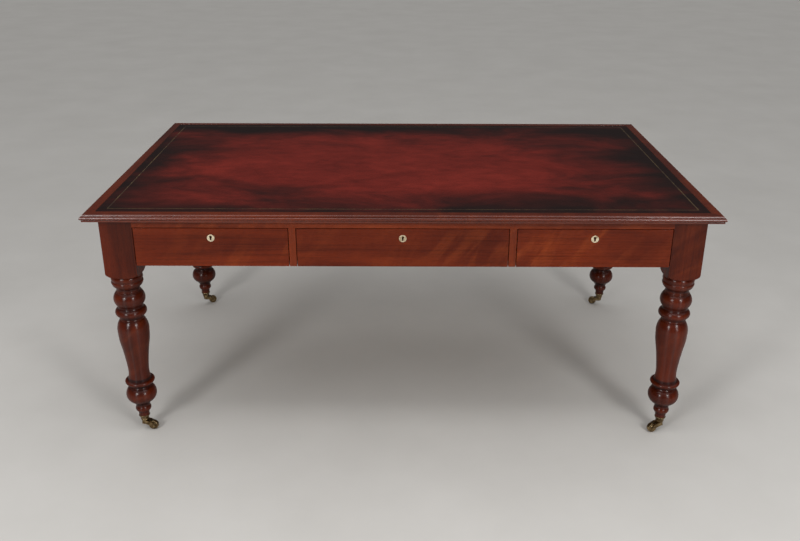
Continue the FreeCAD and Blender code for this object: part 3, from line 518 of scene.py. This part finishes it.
def slotted_screw(head, shank, length, sink, slot_width):
    """A turned wood screw along -Z with the face of its head at zero and a sawn slot across it."""
    rim = 0.0003
    bm = spun(
        [
            (0.0, -length),
            (shank * 0.25, -length + shank),
            (shank, -length * 0.55),
            (shank, -sink),
            (head, -rim),
            (head * 0.96, 0.0),
            (0.0, sink * 0.18),
        ],
        24,
    )
    for normal in (Vector((1, 0, 0)), Vector((-1, 0, 0))):
        bmesh.ops.bisect_plane(
            bm,
            geom=bm.verts[:] + bm.edges[:] + bm.faces[:],
            dist=hairsbreadth / 10,
            plane_co=normal * slot_width / 2,
            plane_no=normal,
        )
    kerf = [
        face
        for face in bm.faces
        if face.normal.z > 0.3 and abs(face.calc_center_median().x) < slot_width / 2
    ]
    sawn = bmesh.ops.extrude_face_region(bm, geom=kerf)["geom"]
    bmesh.ops.delete(bm, geom=kerf, context="FACES")
    floor = [item for item in sawn if isinstance(item, bmesh.types.BMVert)]
    for vert in floor:
        vert.co.z = -sink * 0.55
    bmesh.ops.recalc_face_normals(bm, faces=bm.faces)
    return bm


screws = []
for axis in leg_axes.values():
    for side in (-1, 1):
        place = Matrix.Translation(axis + Vector((0, side * screw_reach, leg_foot - screw_drop)))
        lean = Matrix.Rotation(side * math.radians(-90 - screw_lean), 4, "X")
        screw = slotted_screw(head=0.0026, shank=0.0013, length=0.0095, sink=0.0016, slot_width=0.0006)
        screws.append((screw, place @ lean))
finished(joined(screws), "castor_cup_screws", castor_brass, stands_for=["castor_screws"])


# Castor horns and wheels: a cast brass yoke turns on a pin under each cup and carries a brass wheel.
# The wheel is turned with a dished face and a rounded tread, and runs on a riveted axle.
castor_turns = {"front_left": -5, "front_right": 200, "back_left": 25, "back_right": 155}
castor_trail, wheel_radius, wheel_half = 0.028, 0.016, 0.007
axle_bore, tread_edge = 0.00305, 0.0152
shoulder_round, yoke_arris = 0.0045, 0.0009
behind_pin, beside_pin, least_rise = -0.007, 0.011, 0.004


def joined_faces(cad_node):
    """The CAD node's shape with its triangles joined into whole faces."""
    bm = bmesh.new()
    bm.from_mesh(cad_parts[cad_node].data)
    for layer in list(bm.loops.layers.uv):
        bm.loops.layers.uv.remove(layer)
    bmesh.ops.remove_doubles(bm, verts=bm.verts, dist=hairsbreadth * 4)
    bmesh.ops.dissolve_limit(bm, angle_limit=math.radians(0.5), verts=bm.verts, edges=bm.edges)
    return bm


def eased_copy(cad_node, width, steps=2, least=40):
    """The CAD node's shape with its arrises eased."""
    bm = joined_faces(cad_node)
    ease_arrises(bm, width, steps, least)
    return bm


wheel_face = followed(
    [
        (axle_bore, -wheel_half),
        (0.0062, -wheel_half),
        (0.0068, -wheel_half + 0.0006),
        ((0.0092, -wheel_half + 0.0020), (0.0118, -wheel_half + 0.0006), 6),
        (0.0124, -wheel_half),
        (0.0142, -wheel_half),
        ((0.0149, -wheel_half + 0.0005), (tread_edge, -wheel_half + 0.0014), 4),
    ]
)
wheel_outline = wheel_face + round_through(
    wheel_face[-1], (wheel_radius, 0.0), (tread_edge, wheel_half - 0.0014), round_steps
)
wheel_outline += [(radius, -height) for radius, height in reversed(wheel_face[:-1])]
for corner, axis in leg_axes.items():
    turn = Matrix.Rotation(math.radians(castor_turns[corner]), 4, "Z")
    to_castor = (Matrix.Translation(axis) @ turn).inverted()
    bm = joined_faces(f"castor_horn_{corner}")
    shoulders = []
    for edge in bm.edges:
        ends = [to_castor @ vert.co for vert in edge.verts]
        upright = abs(ends[0].z - ends[1].z) > least_rise
        behind = max(end.x for end in ends) < behind_pin
        if upright and behind and min(abs(end.y) for end in ends) > beside_pin:
            shoulders.append(edge)
    bmesh.ops.bevel(
        bm,
        geom=shoulders,
        offset=shoulder_round,
        offset_type="OFFSET",
        segments=6,
        profile=0.5,
        affect="EDGES",
        material=-1,
    )
    ease_arrises(bm, yoke_arris, steps=3, least=32)
    finished(
        bm,
        f"castor_yoke_{corner}",
        castor_brass,
        body=f"castor_swivel_{corner}",
        stands_for=[f"castor_horn_{corner}"],
    )
    bm = spun(wheel_outline, 72, closed=True)
    seat = Matrix.Translation(axis) @ turn @ Matrix.Translation((castor_trail, 0, wheel_radius))
    bmesh.ops.transform(bm, matrix=seat @ Matrix.Rotation(math.radians(90), 4, "X"), verts=bm.verts)
    finished(
        bm,
        f"castor_roller_{corner}",
        castor_brass,
        body=f"castor_roller_{corner}",
        stands_for=[f"castor_wheel_{corner}"],
    )


# Rails and muntins: mahogany end rails and top rails tenoned into the leg blocks, with upright muntins
# between the drawers. The faces that show are polished like the legs.
rail_arris = 0.0009
rail_wood = mahogany(
    "rail_mahogany",
    dark=(0.140, 0.020, 0.005),
    red=(0.232, 0.036, 0.009),
    flame=(0.305, 0.057, 0.014),
    flame_share=0.5,
    polish=0.35,
    haze=0.15,
    unevenness=0.20,
)
for number, (cad_node, along) in enumerate(
    (
        ("end_rail_left", "Y"),
        ("end_rail_right", "Y"),
        ("front_top_rail", "X"),
        ("back_top_rail", "X"),
        ("front_muntins", "Z"),
        ("back_muntins", "Z"),
    )
):
    finished(
        eased_copy(cad_node, rail_arris, steps=3),
        f"polished_{cad_node}",
        rail_wood,
        stands_for=[cad_node],
        grain=along,
        seed=31 + number,
    )


# Carcase: the centre rail, bottom rails, runners, guides, kickers and stops that carry the drawers.
# They are sawn and planed softwood, never polished, and rubbed where the drawers run.
board_arris = 0.0008


def bare_wood(name, pale, brown, dark, roughness):
    """Unpolished timber: straight growth lines, fine fibres and the dust of years."""
    material, tree, shader = new_finish(name)
    grain = node(tree, "ShaderNodeAttribute", attribute_name="grain").outputs["Vector"]
    lines = noise(tree, grain, (1.4, 120, 55), 4, 0.6, 0.3)
    fibre = noise(tree, grain, (14, 620, 620), 3, 0.6)
    dust = noise(tree, grain, (6, 9, 9), 4, 0.6)
    tone = shades(tree, lines, [(0.30, dark), (0.48, brown), (0.68, pale)])
    fibred = blended(tree, "MULTIPLY", 1.0, tone, shades(tree, fibre, [(0.30, 0.74), (0.60, 1.0)]))
    aged = blended(tree, "MULTIPLY", 1.0, fibred, shades(tree, dust, [(0.32, 0.70), (0.62, 1.0)]))
    tree.links.new(aged, shader.inputs["Base Color"])
    rough = ranged(tree, dust, 0.3, 0.7, roughness + 0.12, roughness - 0.08)
    tree.links.new(rough, shader.inputs["Roughness"])
    relief = node(tree, "ShaderNodeBump", {"Strength": 0.5, "Distance": 0.0003, "Height": fibre})
    tree.links.new(relief.outputs[0], shader.inputs["Normal"])
    shader.inputs["Specular IOR Level"].default_value = 0.3
    return material


carcase_wood = bare_wood(
    "carcase_pine",
    pale=(0.40, 0.26, 0.13),
    brown=(0.29, 0.17, 0.08),
    dark=(0.17, 0.092, 0.04),
    roughness=0.66,
)
for number, (cad_node, along) in enumerate(
    (
        ("centre_rail", "X"),
        ("front_bottom_rail", "X"),
        ("back_bottom_rail", "X"),
        ("drawer_runners", "Y"),
        ("drawer_guides", "Y"),
        ("drawer_kickers", "Y"),
        ("drawer_stops", "Y"),
    )
):
    finished(
        eased_copy(cad_node, board_arris),
        f"planed_{cad_node}",
        carcase_wood,
        stands_for=[cad_node],
        grain=along,
        seed=51 + number,
    )


# Drawer fronts: solid mahogany boards picked for their figure, with lapped sockets for the dovetails.
# Each has a lock let into its back, a keyhole and a seat for the escutcheon; no handle was fitted.
front_wood = mahogany(
    "front_mahogany",
    dark=(0.092, 0.011, 0.003),
    red=(0.178, 0.023, 0.005),
    flame=(0.370, 0.070, 0.015),
    flame_share=0.55,
    polish=0.30,
    haze=0.15,
    unevenness=0.25,
)
front_seeds = {"left": 20, "centre": 11, "right": 3}
drawers = [f"drawer_{row}_{column}" for row in ("front", "back") for column in front_seeds]
back_seed_step = 400
for drawer in drawers:
    row, column = drawer.split("_")[1:]
    finished(
        eased_copy(f"{drawer}_front", board_arris, steps=3),
        f"{drawer}_board",
        front_wood,
        body=drawer,
        stands_for=[f"{drawer}_front"],
        grain="X",
        seed=front_seeds[column] + (back_seed_step if row == "back" else 0),
    )


# Drawer linings: two oak sides with lapped dovetails, a lower back and a thin bottom in grooves.
# The oak is waxed, with straight grain along each board.
oak = bare_wood(
    "lining_oak",
    pale=(0.42, 0.27, 0.13),
    brown=(0.33, 0.20, 0.095),
    dark=(0.22, 0.125, 0.058),
    roughness=0.52,
)
side_low, side_top = 0.6233, 0.7193
side_thick, back_thick, bottom_thick = 0.011, 0.011, 0.007
bottom_rise, back_drop = 0.008, 0.008
front_thick, tail_depth = 0.020, 0.014
front_face, drawer_back = -0.538, -0.033
tails = 3
tail_pitch = (side_top - side_low) / tails
tail_root, tail_tip = 0.60, 0.80
lining_arris = 0.0003


def plank(low, high, width):
    """A squared board between two corners, with its arrises eased."""
    bm = bmesh.new()
    bmesh.ops.create_cube(bm, size=1)
    size = [b - a for a, b in zip(low, high)]
    middle = [(a + b) / 2 for a, b in zip(low, high)]
    bmesh.ops.scale(bm, vec=size, verts=bm.verts)
    bmesh.ops.translate(bm, vec=middle, verts=bm.verts)
    ease_arrises(bm, width)
    return bm


def drawn_out(bm, faces, vec):
    """Draw faces out into a solid along a vector."""
    grown = bmesh.ops.extrude_face_region(bm, geom=faces)["geom"]
    far = [item for item in grown if isinstance(item, bmesh.types.BMVert)]
    bmesh.ops.translate(bm, vec=vec, verts=far)
    bmesh.ops.recalc_face_normals(bm, faces=bm.faces)


def dovetailed(x, front):
    """A drawer side along Y, with tails cut on its front end."""
    shoulder = front + front_thick
    path = [(drawer_back, side_low), (shoulder, side_low)]
    for tail in range(tails):
        middle = side_low + tail_pitch * (tail + 0.5)
        root, tip = tail_pitch * tail_root / 2, tail_pitch * tail_tip / 2
        path += [
            (shoulder, middle - root),
            (shoulder - tail_depth, middle - tip),
            (shoulder - tail_depth, middle + tip),
            (shoulder, middle + root),
        ]
    path += [(shoulder, side_top), (drawer_back, side_top)]
    bm = bmesh.new()
    cheek = bm.faces.new([bm.verts.new((x, y, z)) for y, z in path])
    drawn_out(bm, [cheek], (side_thick, 0, 0))
    ease_arrises(bm, lining_arris, steps=1)
    return bm


for number, drawer in enumerate(drawers):
    row = drawer.split("_")[1]
    low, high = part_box(f"{drawer}_front")
    half_turn = Matrix.Identity(4) if row == "front" else Matrix.Rotation(math.pi, 4, "Z")
    left, right = (low.x, high.x) if row == "front" else (-high.x, -low.x)
    bottom_top = side_low + bottom_rise + bottom_thick
    boards = {
        "side_one": (dovetailed(left, front_face), "Y"),
        "side_two": (dovetailed(right - side_thick, front_face), "Y"),
        "back": (
            plank(
                (left + side_thick, drawer_back - back_thick, bottom_top),
                (right - side_thick, drawer_back, side_top - back_drop),
                board_arris,
            ),
            "X",
        ),
        "bottom": (
            plank(
                (left + side_thick, front_face + front_thick, side_low + bottom_rise),
                (right - side_thick, drawer_back, bottom_top),
                lining_arris,
            ),
            "X",
        ),
    }
    for order, (board, (bm, along)) in enumerate(boards.items()):
        bmesh.ops.transform(bm, matrix=half_turn, verts=bm.verts)
        finished(
            bm,
            f"{drawer}_{board}",
            oak,
            body=drawer,
            stands_for=[f"{drawer}_box"],
            grain=along,
            seed=101 + 7 * number + order,
        )


# Locks: a cast brass case let into the back of each front, with a bolt that shoots up into the rail.
# A round brass escutcheon with a keyhole is let into the face, almost flush.
lock_brass = brass(
    "lock_brass",
    bright=(0.50, 0.37, 0.17),
    tarnished=(0.32, 0.22, 0.10),
    grime=(0.12, 0.08, 0.04),
    dullness=0.30,
)
escutcheon_brass = brass(
    "escutcheon_brass",
    bright=(0.92, 0.82, 0.62),
    tarnished=(0.80, 0.68, 0.48),
    grime=(0.42, 0.33, 0.20),
    dullness=0.46,
)
plate_z = 0.6928
plate_radius, plate_thick, plate_proud = 0.01125, 0.0020, 0.0005
case_face = -0.533
case_arris, plate_arris = 0.0003, 0.0004
key_rise, key_radius, slot_half, slot_foot = 0.0033, 0.0040, 0.0022, -0.0072


def escutcheon():
    """A round plate facing -Y about the origin, pierced with a keyhole."""
    bm = bmesh.new()
    rim = bmesh.ops.create_circle(bm, cap_ends=False, radius=plate_radius, segments=64)["verts"]
    spread = math.asin(slot_half / key_radius)
    start = -math.pi / 2 + spread
    sweep = math.tau - 2 * spread
    key_steps = 24
    hole = []
    for step in range(key_steps + 1):
        angle = start + sweep * step / key_steps
        across, up = key_radius * math.cos(angle), key_radius * math.sin(angle)
        hole.append(bm.verts.new((across, key_rise + up, 0)))
    hole += [bm.verts.new((x, slot_foot, 0)) for x in (-slot_half, slot_half)]
    edges = [bm.edges.new(pair) for pair in zip(hole, hole[1:] + hole[:1])]
    outer = list({edge for vert in rim for edge in vert.link_edges})
    bmesh.ops.bridge_loops(bm, edges=outer + edges)
    drawn_out(bm, bm.faces[:], (0, 0, plate_thick))
    ease_arrises(bm, plate_arris, steps=3, least=60)
    bmesh.ops.rotate(bm, cent=(0, 0, 0), matrix=Matrix.Rotation(math.radians(90), 3, "X"), verts=bm.verts)
    return bm


for drawer in drawers:
    row = drawer.split("_")[1]
    low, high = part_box(f"{drawer}_front")
    bm = eased_copy(f"{drawer}_lock", case_arris)
    cad_plate = [vert for vert in bm.verts if abs(vert.co.y) > -case_face]
    bmesh.ops.delete(bm, geom=cad_plate, context="VERTS")
    finished(bm, f"{drawer}_lock_case", lock_brass, body=drawer, stands_for=[f"{drawer}_lock"])
    bm = escutcheon()
    bmesh.ops.translate(bm, vec=(0, front_face - plate_proud + plate_thick, plate_z), verts=bm.verts)
    if row == "back":
        bmesh.ops.rotate(bm, cent=(0, 0, 0), matrix=Matrix.Rotation(math.pi, 3, "Z"), verts=bm.verts)
    bmesh.ops.translate(bm, vec=((low.x + high.x) / 2, 0, 0), verts=bm.verts)
    finished(
        bm,
        f"{drawer}_escutcheon",
        escutcheon_brass,
        body=drawer,
        stands_for=[f"{drawer}_lock"],
    )
    finished(
        eased_copy(f"{drawer}_bolt", plate_arris),
        f"{drawer}_lock_bar",
        lock_brass,
        body=f"{drawer}_lock_bolt",
        stands_for=[f"{drawer}_bolt"],
    )


# Top: a softwood core tongued into four mahogany border strips, screwed down through the rails.
# Each strip is worked with a rounded lip, a full rounded nose between two narrow quirks and a flat
# fillet below, then mitred at the corners and french polished.
top_half_x, top_half_y = 0.940, 0.575
top_z, top_under = 0.775, 0.753
border_width = 0.037
lip_height, lip_round = 0.0058, 0.0044
quirk_depth, quirk_height = 0.0015, 0.0008
nose_reach, fillet_reach, fillet_height = 0.0065, 0.0045, 0.0052
groove_low, groove_high, groove_bed = 0.7605, 0.7675, 0.0290
core_arris, border_arris = 0.0005, 0.00035
border_wood = mahogany(
    "border_mahogany",
    dark=(0.078, 0.010, 0.003),
    red=(0.138, 0.019, 0.004),
    flame=(0.195, 0.034, 0.008),
    flame_share=0.5,
    polish=1.0,
    haze=0.22,
    unevenness=0.05,
)
finished(
    eased_copy("top_core", core_arris),
    "planed_top_core",
    carcase_wood,
    stands_for=["top_core"],
    grain="X",
    seed=81,
)
lip_bite = lip_round * (1 - math.sqrt(0.5))
lip_low = top_z - lip_height
nose_high = lip_low - quirk_height
fillet_top = top_under + fillet_height
nose_low = fillet_top + quirk_height
moulding = followed(
    [
        (border_width, top_z),
        (nose_reach + lip_round, top_z),
        ((nose_reach + lip_bite, top_z - lip_bite), (nose_reach, top_z - lip_round), round_steps),
        (nose_reach, lip_low),
        (nose_reach + quirk_depth, lip_low),
        (nose_reach + quirk_depth, nose_high),
        (nose_reach, nose_high),
        ((0.0, (nose_high + nose_low) / 2), (fillet_reach + quirk_depth, nose_low), 20),
        (fillet_reach + quirk_depth, fillet_top),
        (fillet_reach, fillet_top),
        (fillet_reach, top_under),
        (border_width, top_under),
        (border_width, groove_low),
        (groove_bed, groove_low),
        (groove_bed, groove_high),
        (border_width, groove_high),
    ]
)
for number, (side, half_run, half_depth, turn) in enumerate(
    (
        ("front", top_half_x, top_half_y, 0),
        ("right", top_half_y, top_half_x, 90),
        ("back", top_half_x, top_half_y, 180),
        ("left", top_half_y, top_half_x, 270),
    )
):
    bm = bmesh.new()
    section = bm.faces.new([bm.verts.new((-half_run, -half_depth + y, z)) for y, z in moulding])
    drawn_out(bm, [section], (2 * half_run, 0, 0))
    for end in (-1, 1):
        sawn_off(bm, (end * half_run, -half_depth, 0), (end, 1, 0))
    bmesh.ops.recalc_face_normals(bm, faces=bm.faces)
    ease_arrises(bm, border_arris, least=50)
    swing = Matrix.Rotation(math.radians(turn), 3, "Z")
    bmesh.ops.rotate(bm, cent=(0, 0, 0), matrix=swing, verts=bm.verts)
    finished(
        bm,
        f"moulded_border_{side}",
        border_wood,
        stands_for=[f"top_border_{side}"],
        grain="X" if side in ("front", "back") else "Y",
        seed=91 + number,
        crisp=32,
    )


# Top screws: countersunk steel wood screws driven up through the top rails into the core.
# Their slotted heads lie just below the underside of the rails.
rail_half_run, rail_line, screw_head_z = 0.801, 0.488, 0.7252


def steel(name):
    """Plain steel gone grey, with brown bloom in patches."""
    material, tree, shader = new_finish(name)
    place = node(tree, "ShaderNodeTexCoord").outputs["Object"]
    bloom = noise(tree, place, (240, 240, 240), 4, 0.6)
    rust, grey, bright = (0.10, 0.055, 0.03), (0.34, 0.33, 0.32), (0.46, 0.45, 0.44)
    metal = shades(tree, bloom, [(0.36, rust), (0.52, grey), (0.7, bright)])
    tree.links.new(metal, shader.inputs["Base Color"])
    tree.links.new(ranged(tree, bloom, 0.35, 0.6, 0.65, 0.35), shader.inputs["Roughness"])
    shader.inputs["Metallic"].default_value = 1.0
    return material


screw_steel = steel("screw_steel")
screws = []
for row in (-1, 1):
    for share in (-0.86, -0.2, 0.2, 0.86):
        place = Matrix.Translation((rail_half_run * share, row * rail_line, screw_head_z))
        screw = slotted_screw(head=0.0045, shank=0.0022, length=0.038, sink=0.0026, slot_width=0.0011)
        screws.append((screw, place @ Matrix.Rotation(math.pi, 4, "X")))
finished(joined(screws), "top_wood_screws", screw_steel, stands_for=["top_fixing_screws"])


# Writing surface: one deep red hide glued to the core and let in flush with the border.
# It is dyed by hand, nearly black towards the edges, and tooled with a blind line and a gilt line.
panel_half_x, panel_half_y = top_half_x - border_width, top_half_y - border_width
hide_drop, hem_depth = 0.0005, 0.0010
edge_slack, end_shift, side_shift = 0.02, 0.025, 0.032


def red_hide(name):
    """Dyed writing leather: mottled red, dark edges, fine pebbled grain and a waxed sheen."""
    material, tree, shader = new_finish(name)
    place = node(tree, "ShaderNodeTexCoord").outputs["Object"]
    spot = node(tree, "ShaderNodeSeparateXYZ", {"Vector": place})
    along = reckon(tree, "ABSOLUTE", reckon(tree, "ADD", spot.outputs["X"], end_shift), 0.0)
    across = reckon(tree, "ABSOLUTE", reckon(tree, "ADD", spot.outputs["Y"], side_shift), 0.0)
    from_end = reckon(tree, "SUBTRACT", panel_half_x + edge_slack, along)
    from_side = reckon(tree, "SUBTRACT", panel_half_y + edge_slack, across)
    clouds = noise(tree, place, (2.6, 4.4, 4.4), 5, 0.6, 0.5)
    mottle = noise(tree, place, (15, 26, 26), 4, 0.6, 0.3)
    wander = reckon(tree, "MULTIPLY", reckon(tree, "SUBTRACT", clouds, 0.5), 0.34)
    both = reckon(tree, "ADD", from_end, from_side)
    nearest = reckon(tree, "DIVIDE", reckon(tree, "MULTIPLY", from_end, from_side), both)
    edge = ranged(tree, reckon(tree, "ADD", nearest, wander), 0.01, 0.25, 1.0, 0.0, smooth=True)
    deep, middle, bright = (0.085, 0.009, 0.006), (0.145, 0.013, 0.008), (0.190, 0.018, 0.011)
    dye = shades(tree, clouds, [(0.30, deep), (0.50, middle), (0.70, bright)])
    mottled = blended(tree, "MULTIPLY", 1.0, dye, shades(tree, mottle, [(0.30, 0.72), (0.66, 1.0)]))
    edged = blended(tree, "MIX", edge, mottled, (0.010, 0.004, 0.0035))
    tree.links.new(edged, shader.inputs["Base Color"])
    pebble = node(tree, "ShaderNodeTexVoronoi", {"Vector": place, "Scale": 780.0, "Randomness": 1.0})
    tree.links.new(ranged(tree, mottle, 0.3, 0.7, 0.36, 0.47), shader.inputs["Roughness"])
    grain = node(
        tree,
        "ShaderNodeBump",
        {"Strength": 0.16, "Distance": 0.0002, "Height": pebble.outputs[0]},
    )
    laid = node(
        tree,
        "ShaderNodeBump",
        {"Strength": 0.25, "Distance": 0.002, "Height": mottle, "Normal": grain.outputs[0]},
    )
    tree.links.new(laid.outputs[0], shader.inputs["Normal"])
    shader.inputs["Specular IOR Level"].default_value = 0.14
    return material


def gold_leaf(name):
    """Gold leaf pressed into the tooled line and rubbed through to dark leather in places."""
    material, tree, shader = new_finish(name)
    place = node(tree, "ShaderNodeTexCoord").outputs["Object"]
    rubbed = noise(tree, place, (14, 14, 14), 5, 0.7, 0.4)
    flecks = noise(tree, place, (420, 420, 420), 3, 0.6)
    worn = reckon(tree, "ADD", rubbed, reckon(tree, "MULTIPLY", flecks, 0.25))
    kept = ranged(tree, worn, 0.56, 0.80, 0.08, 0.9)
    gold = blended(tree, "MIX", kept, (0.022, 0.010, 0.007), (0.34, 0.23, 0.10))
    tree.links.new(gold, shader.inputs["Base Color"])
    tree.links.new(reckon(tree, "MULTIPLY", kept, 0.8), shader.inputs["Metallic"])
    tree.links.new(ranged(tree, flecks, 0.3, 0.7, 0.30, 0.48), shader.inputs["Roughness"])
    return material


leather = red_hide("dyed_hide")
gilt = gold_leaf("gilt_line")
bm = bmesh.new()
field = bm.faces.new(
    [
        bm.verts.new((x * panel_half_x, y * panel_half_y, top_z - hide_drop))
        for x, y in ((-1, -1), (1, -1), (1, 1), (-1, 1))
    ]
)
skirt = bmesh.ops.extrude_face_region(bm, geom=[field])["geom"]
field = [item for item in skirt if isinstance(item, bmesh.types.BMFace)][0]
hem = [vert for vert in bm.verts if vert not in field.verts]
bmesh.ops.translate(bm, vec=(0, 0, -hem_depth), verts=hem)
gilded = []
# From the edge inwards: the width of each strip of the hide, its rise, and whether it holds gold leaf.
for width, rise, gold in (
    (0.0012, 0.0004, False),
    (0.0020, 0.0001, False),
    (0.0190, 0.0, False),
    (0.0004, -0.0003, False),
    (0.0010, 0.0, False),
    (0.0004, 0.0003, False),
    (0.0030, 0.0, False),
    (0.0004, -0.0003, False),
    (0.0024, 0.0, True),
    (0.0004, 0.0003, False),
):
    ring = bmesh.ops.inset_region(
        bm, faces=[field], thickness=width, depth=0, use_boundary=True, use_even_offset=True
    )
    bmesh.ops.translate(bm, vec=(0, 0, rise), verts=list(field.verts))
    if gold:
        gilded += ring["faces"]
for face in gilded:
    face.material_index = 1
bmesh.ops.recalc_face_normals(bm, faces=bm.faces)
hide = finished(
    bm, "leather_writing_surface", leather, stands_for=["leather_panel"], crisp=60
)
hide.data.materials.append(gilt)


# Studio: a plain pale floor, a round lamp and a lower strip on either side of the camera, a panel above.
# The air is dark round the horizon, which the polished top mirrors, and white overhead.
floor_half = 40
lamp_aim = Vector((0, -0.2, 0.45))
bm = bmesh.new()
bmesh.ops.create_grid(bm, x_segments=1, y_segments=1, size=floor_half)
floor_mesh = bpy.data.meshes.new("studio_floor")
bm.to_mesh(floor_mesh)
bm.free()
floor = bpy.data.objects.new("studio_floor", floor_mesh)
bpy.context.scene.collection.objects.link(floor)
floor_paint, tree, shader = new_finish("floor_paint")
place = node(tree, "ShaderNodeTexCoord").outputs["Object"]
tree.links.new(
    shades(
        tree,
        noise(tree, place, (2.2, 2.2, 2.2), 6, 0.6),
        [(0.3, (0.53, 0.515, 0.49)), (0.7, (0.57, 0.555, 0.53))],
    ),
    shader.inputs["Base Color"],
)
shader.inputs["Roughness"].default_value = 0.95
shader.inputs["Specular IOR Level"].default_value = 0.02
floor_mesh.materials.append(floor_paint)

for name, shape, place, width, height, power in (
    ("round_lamp_left", "ELLIPSE", (-2.2, -3.6, 2.3), 0.9, 0.9, 54),
    ("round_lamp_right", "ELLIPSE", (1.95, -3.4, 2.3), 0.9, 0.9, 48),
    ("strip_left", "RECTANGLE", (-2.5, -4.2, 1.4), 0.5, 1.0, 15),
    ("strip_right", "RECTANGLE", (2.2, -4.0, 1.4), 0.5, 1.0, 15),
    ("ceiling_panel", "RECTANGLE", (0.0, -1.3, 3.7), 3.8, 0.8, 24),
):
    lamp = bpy.data.lights.new(name, "AREA")
    lamp.shape = shape
    lamp.size = width
    lamp.size_y = height
    lamp.energy = power
    box = bpy.data.objects.new(name, lamp)
    box.location = place
    box.rotation_euler = (lamp_aim - box.location).to_track_quat("-Z", "Y").to_euler()
    bpy.context.scene.collection.objects.link(box)

world = bpy.data.worlds.new("studio_air")
world.use_nodes = True
tree = world.node_tree
height = node(
    tree, "ShaderNodeSeparateXYZ", {"Vector": node(tree, "ShaderNodeTexCoord").outputs["Generated"]}
).outputs["Z"]
horizon, haze, overhead = (0.05, 0.05, 0.051), (0.07, 0.07, 0.071), (1.0, 1.0, 1.0)
air = shades(tree, height, [(0.0, horizon), (0.56, haze), (0.80, overhead)])
tree.links.new(air, tree.nodes["Background"].inputs["Color"])
bpy.context.scene.world = world
bpy.context.scene.view_settings.view_transform = "Standard"

eye = bpy.data.cameras.new("photo_camera")
eye.sensor_fit = "HORIZONTAL"
eye.sensor_width = 36
eye.lens = 39.716
eye.clip_end = 200
look_down, heading, roll = math.radians(22.89), 0.0026, 0.0021
camera = bpy.data.objects.new("photo_camera", eye)
tilt = Matrix.Rotation(heading, 3, "Z") @ Matrix.Rotation(math.pi / 2 - look_down, 3, "X")
camera.rotation_euler = (tilt @ Matrix.Rotation(roll, 3, "Z")).to_euler()
camera.location = (-0.0015, -2.9846, 1.6232)
bpy.context.scene.collection.objects.link(camera)
bpy.context.scene.camera = camera
